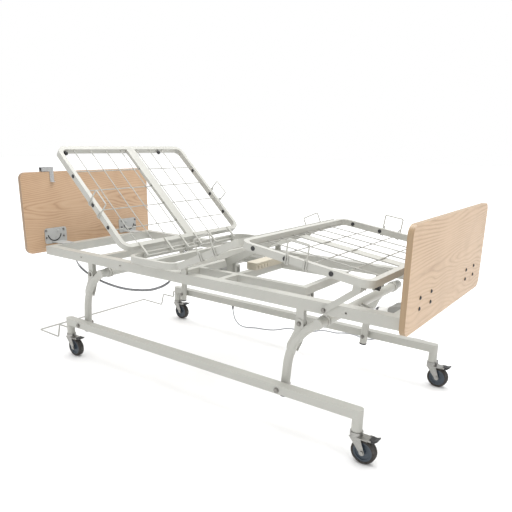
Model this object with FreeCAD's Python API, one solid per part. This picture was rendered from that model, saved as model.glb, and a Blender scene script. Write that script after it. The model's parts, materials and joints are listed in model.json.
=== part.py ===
import FreeCAD, Part
import math
import os

# Adjustable hospital bed, millimetres.  +X runs from the head to the foot, +Y to the far side,
# +Z is up, and z = 0 is the floor.  The bed stands near the top of its height travel with the
# back section and the knees raised.

V = FreeCAD.Vector
Y_AXIS = V(0, 1, 0)

# ---- driving dimensions ----------------------------------------------------------------------
BOARD_W = 914.0            # width of the head and foot boards (36 in)
BOARD_T = 21.0
BOARD_OUT_X = 1112.0       # outer face of the footboard; the headboard's is 6 mm nearer
HEADBOARD_OUT_X = -1106.0
HEADBOARD_Z = (531.0, 981.0)
FOOTBOARD_Z = (535.0, 916.0)
BOARD_CORNER = 35.0
BOARD_HOLE_R = 3.6
BOARD_BOLT_R = 3.2
BOARD_BOLT_Y = (219.0, 333.0)
BOARD_BOLT_Z = (611.0, 651.0)

LOW_RAIL_OUT = 445.0       # |y| of the lower rails' outer faces
LOW_RAIL_W = 42.0
LOW_RAIL_Z = (176.0, 214.0)
SOCKET_X = {"head": -787.0, "foot": 954.0}
SOCKET_R = 21.0
SOCKET_Z0 = 124.0
LOW_RAIL_Y = LOW_RAIL_OUT - LOW_RAIL_W / 2

WHEEL_R = 50.0
WHEEL_W = 30.0
CASTER_TRAIL = 35.0
STEM_R = 8.0
STEM_DEPTH = 52.0
AXLE_R = 5.0
RACE_R = 25.0              # swivel race over the fork
FORK_EYE_R = 11.0
AXLE_NUT_R = 8.0
FORK_Y = (20.5, 23.0)      # the fork's legs, from the wheel's middle
FORK_Z = (103.0, 107.0)    # the fork's top plate
HUB_R = 39.0
HUB_HALF = 13.0
HUB_RIM = 7.0
HUB_BOSS_R = 12.0
TYRE_EDGE_R = 6.0
PEDAL_AT = (27.0, 107.0)   # pedal's pin, from the axle along x and from the floor
PEDAL_PIN_R = 2.5
PEDAL_HALF = 17.0
PEDAL_BARREL_R = 5.5
PEDAL_REACH = 30.0         # from the pin to the tread's tip

LEG_PIVOT_X = {"head": -689.0, "foot": 601.0}
LEG_PIVOT_Z = 192.0
LEG_TOP = (62.0, 284.0)    # upper pivot, from the lower one
LEG_R = 19.0
LEG_Y = 380.0
LEG_LEAN = 5.4             # lean of the straight lower part, degrees
LEG_BEND_END = 63.0        # lean where the bend meets the cross tube
LEG_BEND_R = 256.0
LEG_STRAIGHT = 96.4
LEG_FOOT_END = -42.0
CROSS_TUBE_R = 21.0
CROSS_TUBE_END = 399.0
LEVER_TIP = (56.0, -14.0)  # from the cross tube's centre, to the actuator's eye

RAIL_OUT = 387.0           # |y| of the deck rails' outer faces
RAIL_W = 44.0
RAIL_Z = (534.0, 581.0)
RAIL_X = (-1012.0, 1070.0)
POST_W = 35.0              # leg posts under the deck rails
POST_T = 23.0
DECK_IN = RAIL_OUT - RAIL_W

SEC_W = 445.0              # half width of the deck sections
BEAM_T = 22.0              # thickness of their edge beams
BEAM_H = 30.0
SEC_CORNER = 52.0

BACK_HINGE = (-252.0, 617.0)
BACK_ANGLE = 43.5
BACK_U = (53.0, 718.0)     # along the section, from the hinge
BACK_V = (-12.0, 18.0)     # across the section, from the hinge

THIGH_HINGE = (53.0, 624.0)
THIGH_ANGLE = 24.3
THIGH_V = (-18.0, 12.0)
KNEE = (367.0, -3.0)       # knee hinge in the thigh section's own frame
KNEE_GAP = 12.0

FOOT_SLOPE = 7.94          # fall of the foot section towards the footboard, degrees
FOOT_END = 593.0
FOOT_V = (-15.0, 15.0)

SEAT_X = (-285.0, 35.0)
SEAT_Z = (602.0, 632.0)
SEAT_CORNER = 70.0

MECH_Z = (533.5, 568.0)    # inner frame that carries the motors
MECH_X = (-60.0, 577.0)
MECH_Y = 200.0
MECH_BAR = 30.0

WIRE_R = 3.0
GRID_WIRE_R = 2.5
RUN_FIT = 0.08             # radial clearance of a turning fit
M12_R = 6.0                # bolts of the legs' lower pivots
M10_R = 5.0                # bolts and pins of the other pivots
M10_HEAD_R = 9.0
HOLE_SLACK = 0.1           # radial clearance of a bolt in a fixed part
ACROSS = (-460.0, 460.0)   # a y span past every part that a cross bore goes through


# ---- small helpers ---------------------------------------------------------------------------
def box(x, y, z):
    """A box from three (low, high) pairs."""
    return Part.makeBox(x[1] - x[0], y[1] - y[0], z[1] - z[0], V(x[0], y[0], z[0]))


def both(pair):
    """The mirror image of a (low, high) pair on the other side of y = 0."""
    return (-pair[1], -pair[0])


def from_middle(y0, side, span):
    """A (low, high) pair of y for a span measured outwards from a middle plane."""
    a, b = y0 + side * span[0], y0 + side * span[1]
    return (min(a, b), max(a, b))


def rod(p, q, radius):
    p, q = V(*p), V(*q)
    return Part.makeCylinder(radius, (q - p).Length, p, q - p)


def cone(p, q, r0, r1):
    p, q = V(*p), V(*q)
    return Part.makeCone(r0, r1, (q - p).Length, p, q - p)


def fuse(shapes):
    whole = shapes[0].multiFuse(shapes[1:]) if len(shapes) > 1 else shapes[0]
    return whole.removeSplitter()


def group(shapes):
    return Part.makeCompound(shapes)


def export(name, shape):
    shape.exportStep("parts/" + name + ".step")


def rounded_rect(x, y, radius, z):
    """A closed wire round a rectangle with four arc corners, at height z."""
    r = radius
    cut = r * (1 - math.cos(math.radians(45)))
    x0, x1 = x
    y0, y1 = y
    edges = []
    runs = [((x0 + r, y0), (x1 - r, y0)), ((x1, y0 + r), (x1, y1 - r)),
            ((x1 - r, y1), (x0 + r, y1)), ((x0, y1 - r), (x0, y0 + r))]
    mids = [(x1 - cut, y0 + cut), (x1 - cut, y1 - cut), (x0 + cut, y1 - cut), (x0 + cut, y0 + cut)]
    for i, (run, mid) in enumerate(zip(runs, mids)):
        after = runs[(i + 1) % 4][0]
        edges.append(Part.LineSegment(V(*run[0], z), V(*run[1], z)).toShape())
        edges.append(Part.Arc(V(*run[1], z), V(*mid, z), V(*after, z)).toShape())
    return Part.Wire(edges)


def slab(x, y, z, radius):
    """A plate with rounded corners in plan."""
    return Part.Face(rounded_rect(x, y, radius, z[0])).extrude(V(0, 0, z[1] - z[0]))


def ring(x, y, z, beam, radius):
    """An edge frame: a plate with rounded corners less its inside."""
    outer = slab(x, y, z, radius)
    inner = slab((x[0] + beam, x[1] - beam), (y[0] + beam, y[1] - beam), z, radius - beam)
    return outer.cut(inner)


def plate_xz(points, y):
    """A flat plate with its outline in X and Z, between two values of y."""
    loop = [V(px, y[0], pz) for px, pz in points]
    return Part.Face(Part.makePolygon(loop + loop[:1])).extrude(V(0, y[1] - y[0], 0))


def disc_y(x, z, radius, y):
    return rod((x, y[0], z), (x, y[1], z), radius)


def rounded_path(points):
    """Straight runs joined by tangent arcs, each as large as its two runs allow."""
    pts = [V(*p) for p in points]
    edges = []
    radii = []
    start = pts[0]
    for before, corner, after in zip(pts, pts[1:], pts[2:]):
        back = (before - corner).normalize()
        ahead = (after - corner).normalize()
        turn = math.pi - back.getAngle(ahead)
        cut = 0.45 * min((before - corner).Length, (after - corner).Length)
        radius = cut / math.tan(turn / 2)
        enter = corner + back * cut
        leave = corner + ahead * cut
        middle = (back + ahead).normalize()
        centre = corner + middle * (radius / math.cos(turn / 2))
        edges.append(Part.LineSegment(start, enter).toShape())
        edges.append(Part.Arc(enter, centre - middle * radius, leave).toShape())
        radii.append(radius)
        start = leave
    edges.append(Part.LineSegment(start, pts[-1]).toShape())
    return Part.Wire(edges), radii


def bent_path(points, radius):
    """Straight runs joined by arcs of one bending radius, as wire and tube are bent."""
    pts = [V(*p) for p in points]
    edges = []
    start = pts[0]
    for before, corner, after in zip(pts, pts[1:], pts[2:]):
        back = (before - corner).normalize()
        ahead = (after - corner).normalize()
        turn = math.pi - back.getAngle(ahead)
        cut = radius * math.tan(turn / 2)
        middle = (back + ahead).normalize()
        centre = corner + middle * (radius / math.cos(turn / 2))
        edges.append(Part.LineSegment(start, corner + back * cut).toShape())
        edges.append(Part.Arc(corner + back * cut, centre - middle * radius, corner + ahead * cut).toShape())
        start = corner + ahead * cut
    edges.append(Part.LineSegment(start, pts[-1]).toShape())
    return Part.Wire(edges)


def sweep(path, radius):
    first = path.Edges[0]
    at = first.valueAt(first.FirstParameter)
    along = first.tangentAt(first.FirstParameter)
    section = Part.Wire(Part.Circle(at, along, radius).toShape())
    return path.makePipeShell([section], True, False)


def place(shape, hinge, turn):
    """Turn a shape about +Y at the origin, then move it to a hinge at (x, z)."""
    moved = shape.copy()
    moved.Placement = FreeCAD.Placement(V(hinge[0], 0, hinge[1]), FreeCAD.Rotation(Y_AXIS, turn))
    return moved


def place_point(point, hinge, turn):
    """The same move for one (x, z) point."""
    a = math.radians(turn)
    x = point[0] * math.cos(a) + point[1] * math.sin(a)
    z = -point[0] * math.sin(a) + point[1] * math.cos(a)
    return (hinge[0] + x, hinge[1] + z)


# ---- base: lower rails, pivots, wall bumper ---------------------------------------------------
def lower_rail(side):
    y0 = side * LOW_RAIL_Y
    xs = (SOCKET_X["head"], SOCKET_X["foot"])
    bodies = [box(xs, (y0 - LOW_RAIL_W / 2, y0 + LOW_RAIL_W / 2), LOW_RAIL_Z)]
    bodies += [rod((x, y0, SOCKET_Z0), (x, y0, LOW_RAIL_Z[1]), SOCKET_R) for x in xs]
    rail = fuse(bodies)
    for x in xs:
        rail = rail.cut(rod((x, y0, SOCKET_Z0), (x, y0, SOCKET_Z0 + STEM_DEPTH), STEM_R + RUN_FIT))
    for x in LEG_PIVOT_X.values():
        rail = rail.cut(disc_y(x, LEG_PIVOT_Z, M12_R + HOLE_SLACK, (y0 - LOW_RAIL_W, y0 + LOW_RAIL_W)))
    end_x, end_z = BUMPER_END
    wire_hole = rod((end_x, side * BUMPER_Y, end_z), (BUMPER_PROFILE[0][0], side * BUMPER_Y, end_z),
                    BUMPER_WIRE_R + HOLE_SLACK)
    return rail.cut(wire_hole)


M12_HEAD_R = 11.0
NUT_Y = (-360.0, -351.0)       # the nuts inside the near legs


def leg_pivot_bolt(x, side):
    """M12 shoulder bolt through the lower rail and the leg tube, with its nut inside."""
    shank = disc_y(x, LEG_PIVOT_Z, M12_R, (-LOW_RAIL_OUT - 0.5, NUT_Y[1] - 1))
    head = disc_y(x, LEG_PIVOT_Z, M12_HEAD_R, (-LOW_RAIL_OUT - 6.5, -LOW_RAIL_OUT))
    nut = disc_y(x, LEG_PIVOT_Z, M12_HEAD_R - 1, NUT_Y)
    bolt = fuse([shank, head, nut])
    return bolt if side < 0 else bolt.mirror(V(0, 0, 0), Y_AXIS)


BUMPER_END = (-800.0, 182.0)   # where the wire ends, inside the caster socket
BUMPER_PROFILE = [(-815.0, 182.0), (-815.0, 142.0), (-912.0, 142.0), (-934.0, 64.0), (-1112.0, 68.0)]
BUMPER_WIRE_R = 4.0
BUMPER_BEND_R = 10.0
BUMPER_Y = LOW_RAIL_OUT - LOW_RAIL_W + 8


def wall_bumper():
    """Bent wire from one lower rail, out behind the headboard, to the other rail."""
    profile = [BUMPER_END] + BUMPER_PROFILE
    near = [(x, -BUMPER_Y, z) for x, z in profile]
    far = [(x, BUMPER_Y, z) for x, z in reversed(profile)]
    return sweep(bent_path(near + far, BUMPER_BEND_R), BUMPER_WIRE_R)


# ---- casters ----------------------------------------------------------------------------------
def caster_fork(x, side):
    """Zinc-plated swivel head, stem, two fork legs and the pedal's ears; the wheel trails towards +X."""
    y0 = side * LOW_RAIL_Y
    axle_x = x + CASTER_TRAIL
    stem = rod((x, y0, FORK_Z[1]), (x, y0, SOCKET_Z0 + STEM_DEPTH - 2), STEM_R)
    race = rod((x, y0, FORK_Z[1] - 1), (x, y0, SOCKET_Z0 - 0.5), RACE_R)
    plate = box((x - 10, axle_x + 20), (y0 - FORK_Y[1], y0 + FORK_Y[1]), FORK_Z)
    pieces = [stem, race, plate, disc_y(axle_x, WHEEL_R, AXLE_R, (y0 - 22, y0 + 22))]
    leg_outline = [(x - 22, FORK_Z[1]), (x + 26, FORK_Z[1]), (axle_x + FORK_EYE_R, WHEEL_R),
                   (axle_x - FORK_EYE_R, WHEEL_R)]
    for s in (-1, 1):
        y = from_middle(y0, s, FORK_Y)
        pieces += [plate_xz(leg_outline, y), disc_y(axle_x, WHEEL_R, FORK_EYE_R, y)]
        pieces.append(disc_y(axle_x, WHEEL_R, AXLE_NUT_R, from_middle(y0, s, (FORK_Y[1], FORK_Y[1] + 4))))
        ear_y = from_middle(y0, s, (PEDAL_HALF + 0.5, 21.0))
        pieces.append(box((axle_x + 14, axle_x + PEDAL_AT[0] + 5), ear_y, (FORK_Z[0], PEDAL_AT[1] + 4)))
    pieces.append(disc_y(axle_x + PEDAL_AT[0], PEDAL_AT[1], PEDAL_PIN_R, (y0 - 20, y0 + 20)))
    return fuse(pieces)


def caster_tyre(x, side):
    y0 = side * LOW_RAIL_Y
    half = WHEEL_W / 2
    axle_x = x + CASTER_TRAIL
    tyre = disc_y(axle_x, WHEEL_R, WHEEL_R, (y0 - half, y0 + half))
    rims = [e for e in tyre.Edges if e.Closed and abs(e.Curve.Radius - WHEEL_R) < 0.1]
    tyre = tyre.makeFillet(TYRE_EDGE_R, rims)
    return tyre.cut(disc_y(axle_x, WHEEL_R, HUB_R, (y0 - half, y0 + half)))


def caster_hub(x, side):
    """Dished disc of the wheel with a raised boss round the axle."""
    y0 = side * LOW_RAIL_Y
    axle_x = x + CASTER_TRAIL
    disc = disc_y(axle_x, WHEEL_R, HUB_R, (y0 - HUB_HALF, y0 + HUB_HALF))
    for s in (-1, 1):
        hollow_y = from_middle(y0, s, (HUB_HALF - 4, HUB_HALF))
        disc = disc.cut(disc_y(axle_x, WHEEL_R, HUB_R - HUB_RIM, hollow_y))
    boss = disc_y(axle_x, WHEEL_R, HUB_BOSS_R, (y0 - HUB_HALF - 5, y0 + HUB_HALF + 5))
    bore = disc_y(axle_x, WHEEL_R, AXLE_R + RUN_FIT, (y0 - 20, y0 + 20))
    return fuse([disc, boss]).cut(bore)


def caster_pedal(x, side):
    """Brake pedal: a short tread that sticks out past the wheel, on a pin between the fork's ears."""
    y = from_middle(side * LOW_RAIL_Y, 1, (-PEDAL_HALF, PEDAL_HALF))
    px, pz = x + CASTER_TRAIL + PEDAL_AT[0], PEDAL_AT[1]
    middle, tip = px + PEDAL_REACH / 2, px + PEDAL_REACH
    outline = [(px, pz + PEDAL_BARREL_R), (middle, pz + 5), (tip - 2, pz + 10), (tip, pz + 6),
               (middle + 2, pz - 5), (px, pz - PEDAL_BARREL_R)]
    tread = plate_xz(outline, y).fuse(disc_y(px, pz, PEDAL_BARREL_R, y))
    return tread.cut(disc_y(px, pz, PEDAL_PIN_R + RUN_FIT, y))


# ---- legs -------------------------------------------------------------------------------------
def leg_centre(angle):
    """The leg tube's centre line where its lean is the given angle, from the lower pivot."""
    lean = math.radians(LEG_LEAN)
    a = math.radians(angle)
    x = LEG_STRAIGHT * math.sin(lean) + LEG_BEND_R * (math.cos(lean) - math.cos(a))
    z = LEG_STRAIGHT * math.cos(lean) + LEG_BEND_R * (math.sin(a) - math.sin(lean))
    return (x, z)


CROSS_TUBE = leg_centre(LEG_BEND_END)


def leg_tube(end, y):
    x0 = LEG_PIVOT_X[end]
    lean = math.radians(LEG_LEAN)
    at = [(LEG_FOOT_END * math.sin(lean), LEG_FOOT_END * math.cos(lean)), leg_centre(LEG_LEAN),
          leg_centre((LEG_LEAN + LEG_BEND_END) / 2), CROSS_TUBE]
    p = [V(x0 + x, y, LEG_PIVOT_Z + z) for x, z in at]
    path = Part.Wire([Part.LineSegment(p[0], p[1]).toShape(), Part.Arc(p[1], p[2], p[3]).toShape()])
    return sweep(path, LEG_R)


LEVER_Y = ((11.0, 16.0), (-16.0, -11.0))   # a lever's two plates, from the motor's middle plane
LEVER_BOLT_R = 8.0
LEVER_EYE_R = 12.0


def lever_bolt_heads(x, z, y0):
    """Round heads on the outer faces of a lever's two plates."""
    outer = LEVER_Y[0][1]
    return [disc_y(x, z, LEVER_BOLT_R, from_middle(y0, s, (outer - 0.5, outer + 4.5))) for s in (-1, 1)]


def clevis_plate(end, y):
    """One of the two plates that take the leg up to its upper pivot."""
    x0 = LEG_PIVOT_X[end]
    tx, tz = LEG_TOP
    outline = [(tx - 20, tz), (tx - 21, tz - 30), (10, 190), (8, 168), (44, 156), (62, 195),
               (tx + 20, tz - 28), (tx + 20, tz)]
    plate = plate_xz([(x0 + x, LEG_PIVOT_Z + z) for x, z in outline], y)
    return plate.fuse(disc_y(x0 + tx, LEG_PIVOT_Z + tz, TOP_EYE_R, y))


CLEVIS_Y = ((RAIL_OUT - POST_T - 4.3, RAIL_OUT - POST_T - 0.3), (RAIL_OUT + 0.3, RAIL_OUT + 4.3))
HILO_Y = -60.0
COLLAR_Y = ((322.0, 332.0), (338.0, 348.0))
COLLAR_T = 4.0
TOP_EYE_R = 20.0


def leg_frame(end):
    """Two bent legs, the cross tube between them, clevis plates, collars and the motor lever."""
    x0 = LEG_PIVOT_X[end]
    cx, cz = x0 + CROSS_TUBE[0], LEG_PIVOT_Z + CROSS_TUBE[1]
    pieces = [disc_y(cx, cz, CROSS_TUBE_R, (-CROSS_TUBE_END, CROSS_TUBE_END))]
    for s in (-1, 1):
        pieces.append(leg_tube(end, s * LEG_Y))
        for y in CLEVIS_Y:
            pieces.append(clevis_plate(end, y if s > 0 else both(y)))
        for y in COLLAR_Y:
            pieces.append(disc_y(cx, cz, CROSS_TUBE_R + COLLAR_T, y if s > 0 else both(y)))
    tx, tz = cx + LEVER_TIP[0], cz + LEVER_TIP[1]
    for low, high in LEVER_Y:
        y = (HILO_Y + low, HILO_Y + high)
        outline = [(cx - 8, cz + 20), (tx + 2, tz + LEVER_EYE_R), (tx + 2, tz - LEVER_EYE_R),
                   (cx - 4, cz - 20)]
        pieces += [plate_xz(outline, y), disc_y(tx, tz, LEVER_EYE_R, y)]
    pieces += lever_bolt_heads(tx, tz, HILO_Y)
    frame = fuse(pieces)
    frame = frame.cut(disc_y(x0, LEG_PIVOT_Z, M12_R + RUN_FIT, ACROSS))
    return frame.cut(disc_y(x0 + LEG_TOP[0], LEG_PIVOT_Z + LEG_TOP[1], M10_R + RUN_FIT, ACROSS))


def leg_top_bolt(end, side):
    """M10 bolt through the clevis plates and the leg post."""
    x, z = LEG_PIVOT_X[end] + LEG_TOP[0], LEG_PIVOT_Z + LEG_TOP[1]
    outer = CLEVIS_Y[1][1] + 0.3
    shank = disc_y(x, z, M10_R, (-outer - 1, NUT_Y[1] - 1))
    head = disc_y(x, z, M10_HEAD_R, (-outer - 6, -outer))
    nut = disc_y(x, z, M10_HEAD_R - 0.5, (-CLEVIS_Y[0][0] + 0.3, NUT_Y[1]))
    bolt = fuse([shank, head, nut])
    return bolt if side < 0 else bolt.mirror(V(0, 0, 0), Y_AXIS)


# ---- deck frame -------------------------------------------------------------------------------
RAIL_HOLE_X = (-700.0, -390.0, 860.0)
RAIL_HOLE_Z = 557.5
RAIL_HOLE_R = 4.5
RAIL_HOLE_DEPTH = 12.0


def deck_rail(side):
    """Side rail with the accessory holes in its outer face."""
    rail = box(RAIL_X, from_middle(0, side, (DECK_IN, RAIL_OUT)), RAIL_Z)
    for x in RAIL_HOLE_X:
        hole_y = from_middle(0, side, (RAIL_OUT - RAIL_HOLE_DEPTH, RAIL_OUT + 1))
        rail = rail.cut(disc_y(x, RAIL_HOLE_Z, RAIL_HOLE_R, hole_y))
    return rail


def leg_post(end, side):
    """Round-ended post under a deck rail that carries a leg's upper pivot."""
    x = LEG_PIVOT_X[end] + LEG_TOP[0]
    z = LEG_PIVOT_Z + LEG_TOP[1]
    y = from_middle(0, side, (RAIL_OUT - POST_T, RAIL_OUT))
    post = box((x - POST_W / 2, x + POST_W / 2), y, (z, RAIL_Z[0])).fuse(disc_y(x, z, POST_W / 2, y))
    return post.cut(disc_y(x, z, M10_R + HOLE_SLACK, y))


BACK_MOTOR = (-1.0, 465.0)
THIGH_MOTOR = (545.0, 500.0)
HEAD_MOTOR = (-70.0, 507.0)
FOOT_MOTOR = (1047.0, 515.0)
BACK_MOTOR_Y = 60.0
THIGH_MOTOR_Y = -110.0
EAR_Y = (10.5, 14.5)       # the two ears that hold a motor's tail, from its centre
EAR_W = 24.0
SHELF_T = 8.0
PIN_R = 5.0


def motor_ears(pivot, y0, top_z):
    """Two hanging plates and the pin that a motor's tail swings on."""
    x, z = pivot
    w = EAR_W / 2
    outline = [(x - w, top_z), (x - w, z), (x - 8, z - 11), (x + 8, z - 11), (x + w, z), (x + w, top_z)]
    ears = [plate_xz(outline, (y0 + low, y0 + high)) for low, high in (EAR_Y, both(EAR_Y))]
    return ears + [disc_y(x, z, PIN_R, (y0 - EAR_Y[1] - 3, y0 + EAR_Y[1] + 3))]


def ear_shelf(pivot, y0, beam_x):
    """Short cantilever from a cross beam, for ears that hang beside the beam."""
    x = pivot[0]
    half = EAR_Y[1] + 2.5
    span_x = (min(x - EAR_W / 2, beam_x), max(x + EAR_W / 2, beam_x))
    return box(span_x, (y0 - half, y0 + half), (MECH_Z[0], MECH_Z[0] + SHELF_T))


DECK_CROSS_X = ((-1012.0, -968.0), (-640.0, -600.0), (1026.0, 1070.0))
DECK_CROSS_H = 34.0        # height of the middle one; the others are as high as the rails
MECH_MIDDLE_X = (180.0, 210.0)


def deck_cross_members():
    """Head, middle and foot cross members; the foot one carries the ears of its motor."""
    heights = (RAIL_Z, (RAIL_Z[0], RAIL_Z[0] + DECK_CROSS_H), RAIL_Z)
    head, middle, foot = [box(x, (-DECK_IN, DECK_IN), z) for x, z in zip(DECK_CROSS_X, heights)]
    ears = motor_ears(FOOT_MOTOR, HILO_Y, RAIL_Z[0] + 2)
    return group([head, middle, fuse([foot] + ears)])


def mech_frame():
    """Inner frame under the deck that carries the motors and the control box."""
    bar = MECH_BAR
    x0, x1 = MECH_X
    wide_y = (-DECK_IN, DECK_IN)
    pieces = [box((x0, x0 + bar), wide_y, MECH_Z), box(MECH_MIDDLE_X, wide_y, MECH_Z),
              box((x1 - bar, x1), (-MECH_Y, MECH_Y), MECH_Z)]
    for y in ((MECH_Y - bar, MECH_Y), (-MECH_Y, bar - MECH_Y)):
        pieces.append(box((x0, x1), y, MECH_Z))
    motors = ((BACK_MOTOR, BACK_MOTOR_Y, x0 + 5), (HEAD_MOTOR, HILO_Y, x0 + 5),
              (THIGH_MOTOR, THIGH_MOTOR_Y, x1 - 5))
    for pivot, y0, beam_x in motors:
        pieces += motor_ears(pivot, y0, MECH_Z[0] + 4)
        pieces.append(ear_shelf(pivot, y0, beam_x))
    return fuse(pieces)


SEAT_BEAM_X = (-115.0, -93.0)
SEAT_POST_X = ((-270.0, -240.0), (-119.0, -89.0))
THIGH_POST_Y = (374.0, 386.0)
BACK_LUG_Y = (-345.0, -172.0, -58.0, 47.0, 161.0, 334.0)
BACK_LUG_HALF = 5.0
BACK_LUG_R = 8.0
BACK_PIN_R = 4.0


def seat_frame():
    """Fixed seat: edge frame, middle beam, standing posts and both section hinges' fixed lugs."""
    pieces = [ring(SEAT_X, (-SEC_W, SEC_W), SEAT_Z, BEAM_T, SEAT_CORNER)]
    pieces.append(box(SEAT_BEAM_X, (5 - SEC_W, SEC_W - 5), SEAT_Z))
    hx, hz = THIGH_HINGE
    for s in (-1, 1):
        for x in SEAT_POST_X:
            pieces.append(box(x, from_middle(0, s, (DECK_IN + 4, RAIL_OUT - 4)), (RAIL_Z[1], SEAT_Z[0] + 2)))
        pieces.append(box((hx - 24, hx + 6), from_middle(0, s, THIGH_POST_Y), (RAIL_Z[1], hz + 8)))
        pieces.append(disc_y(hx, hz, M10_R, from_middle(0, s, (THIGH_POST_Y[1] - 1, THIGH_POST_Y[1] + 11))))
    hx, hz = BACK_HINGE
    pieces.append(disc_y(hx, hz, BACK_PIN_R, (BACK_LUG_Y[0] - 7, 7 - BACK_LUG_Y[0])))
    for y0 in BACK_LUG_Y:
        lug_y = (y0 + BACK_LUG_HALF + 1, y0 + BACK_LUG_HALF + 6)
        pieces.append(box((SEAT_X[0] + BEAM_T - 1, hx + 4), lug_y, (hz - BACK_LUG_R, hz + BACK_LUG_R)))
    return fuse(pieces)


def board(out_x, inward, z):
    """A board with rounded corners; inward is +1 where the bed lies towards +X."""
    cut = BOARD_CORNER * (1 - math.cos(math.radians(45)))
    wire = rounded_rect((-z[1], -z[0]), (-BOARD_W / 2, BOARD_W / 2), BOARD_CORNER, 0)
    panel = Part.Face(wire).extrude(V(0, 0, inward * BOARD_T))
    panel.Placement = FreeCAD.Placement(V(out_x, 0, 0), FreeCAD.Rotation(Y_AXIS, 90))
    for y in board_bolt_ys():
        for hole_z in BOARD_BOLT_Z:
            panel = panel.cut(rod((out_x - 30, y, hole_z), (out_x + 30, y, hole_z), BOARD_HOLE_R))
    return panel


def board_bolt_ys():
    return [s * y for s in (-1, 1) for y in BOARD_BOLT_Y]


BRACKET_Y = (199.0, 341.0)
BRACKET_Z = (575.0, 664.0)
BRACKET_T = 5.0
BRACKET_CORNER = 14.0
BRACKET_TAB_Y = (228.0, 300.0)


def board_bracket(inner_x, inward, cross_x, side):
    """Plate on the board's inner face with a foot that lies on the deck's end member."""
    plate_x = from_middle(inner_x, inward, (0, BRACKET_T))
    plate = box(plate_x, from_middle(0, side, BRACKET_Y), BRACKET_Z)
    corners = [e for e in plate.Edges if e.Length < BRACKET_T + 1]
    plate = plate.makeFillet(BRACKET_CORNER, corners)
    tab_x = (min(inner_x, cross_x), max(inner_x, cross_x))
    tab = box(tab_x, from_middle(0, side, BRACKET_TAB_Y), (RAIL_Z[1], RAIL_Z[1] + BRACKET_T))
    holder = fuse([plate, tab])
    for bolt_y in BOARD_BOLT_Y:
        for z in BOARD_BOLT_Z:
            start, end = [(inner_x + way * 9, side * bolt_y, z) for way in (-1, 1)]
            holder = holder.cut(rod(start, end, BOARD_HOLE_R))
    return holder


def board_brackets():
    head_in = HEADBOARD_OUT_X + BOARD_T
    foot_in = BOARD_OUT_X - BOARD_T
    head = [board_bracket(head_in, 1, DECK_CROSS_X[0][1] - 7, s) for s in (-1, 1)]
    foot = [board_bracket(foot_in, -1, DECK_CROSS_X[2][0] + 8, s) for s in (-1, 1)]
    return group(head + foot)


def board_bolt(out_x, inward, y, z):
    """M6 bolt with a domed head outside and a nut on the bracket."""
    inner = out_x + inward * (BOARD_T + BRACKET_T)
    shank = rod((out_x - inward * 0.5, y, z), (inner + inward * 6, y, z), BOARD_BOLT_R)
    head = cone((out_x, y, z), (out_x - inward * 4, y, z), 7.0, 4.0)
    nut = rod((inner, y, z), (inner + inward * 5, y, z), 5.5)
    return fuse([shank, head, nut])


def board_bolts():
    bolts = []
    for out_x, inward in ((HEADBOARD_OUT_X, 1), (BOARD_OUT_X, -1)):
        for y in board_bolt_ys():
            bolts += [board_bolt(out_x, inward, y, z) for z in BOARD_BOLT_Z]
    return group(bolts)


def pendant_hook():
    """Bent sheet hanger over the headboard's top edge, for the hand control."""
    top = HEADBOARD_Z[1]
    inner = HEADBOARD_OUT_X + BOARD_T
    wide_y = (-324.0, -268.0)
    strap_y = (-276.0, -251.0)
    outside = box((HEADBOARD_OUT_X - 3.5, HEADBOARD_OUT_X - 0.5), wide_y, (top - 22, top + 26))
    over = box((HEADBOARD_OUT_X - 3.5, inner + 3.5), wide_y, (top + 23, top + 26))
    inside = box((inner + 0.5, inner + 3.5), wide_y, (top + 2, top + 26))
    strap = box((inner + 0.5, inner + 3.5), strap_y, (top - 58, top + 26))
    lip = box((inner + 0.5, inner + 16), strap_y, (top - 58, top - 55))
    return fuse([outside, over, inside, strap, lip])


def control_box():
    """Control unit of the motors, on the inner frame's middle beam."""
    body = box((165, 225), (-75, 152), (MECH_Z[1], MECH_Z[1] + 34))
    upright = [e for e in body.Edges if abs(e.tangentAt(e.FirstParameter).z) > 0.9]
    body = body.makeFillet(6.0, upright)
    sockets = [box((224, 232), (y, y + 16), (MECH_Z[1] + 6, MECH_Z[1] + 22)) for y in (-60, -36, -12, 12)]
    return fuse([body] + sockets)


# ---- deck sections ------------------------------------------------------------------------------
BACK_EYE = (-60.0, -130.0)  # the motor lever's eye in the back section's own frame


def back_frame():
    """Edge frame of the back section with its hinge lugs and the motor lever."""
    u0, u1 = BACK_U
    v0, v1 = BACK_V
    pieces = [ring((-u1, -u0), (-SEC_W, SEC_W), BACK_V, BEAM_T, SEC_CORNER)]
    for y0 in BACK_LUG_Y:
        y = (y0 - BACK_LUG_HALF, y0 + BACK_LUG_HALF)
        pieces.append(box((-u0 - 18, BACK_LUG_R), y, (v1 - 1, v1 + 6)))
        pieces.append(box((-BACK_LUG_R, BACK_LUG_R), y, (0, v1 + 6)))
        pieces.append(disc_y(0, 0, BACK_LUG_R, y))
    for low, high in LEVER_Y:
        y = (BACK_MOTOR_Y + low, BACK_MOTOR_Y + high)
        ex, ez = BACK_EYE
        outline = [(-u0 - 2, v1 - 2), (-u0 - 20, v1 - 2), (ex - LEVER_EYE_R, ez), (ex + LEVER_EYE_R, ez)]
        pieces += [plate_xz(outline, y), disc_y(*BACK_EYE, LEVER_EYE_R, y)]
    pieces += lever_bolt_heads(*BACK_EYE, BACK_MOTOR_Y)
    frame = fuse(pieces).cut(disc_y(0, 0, BACK_PIN_R + RUN_FIT, ACROSS))
    return place(frame, BACK_HINGE, BACK_ANGLE)


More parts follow.
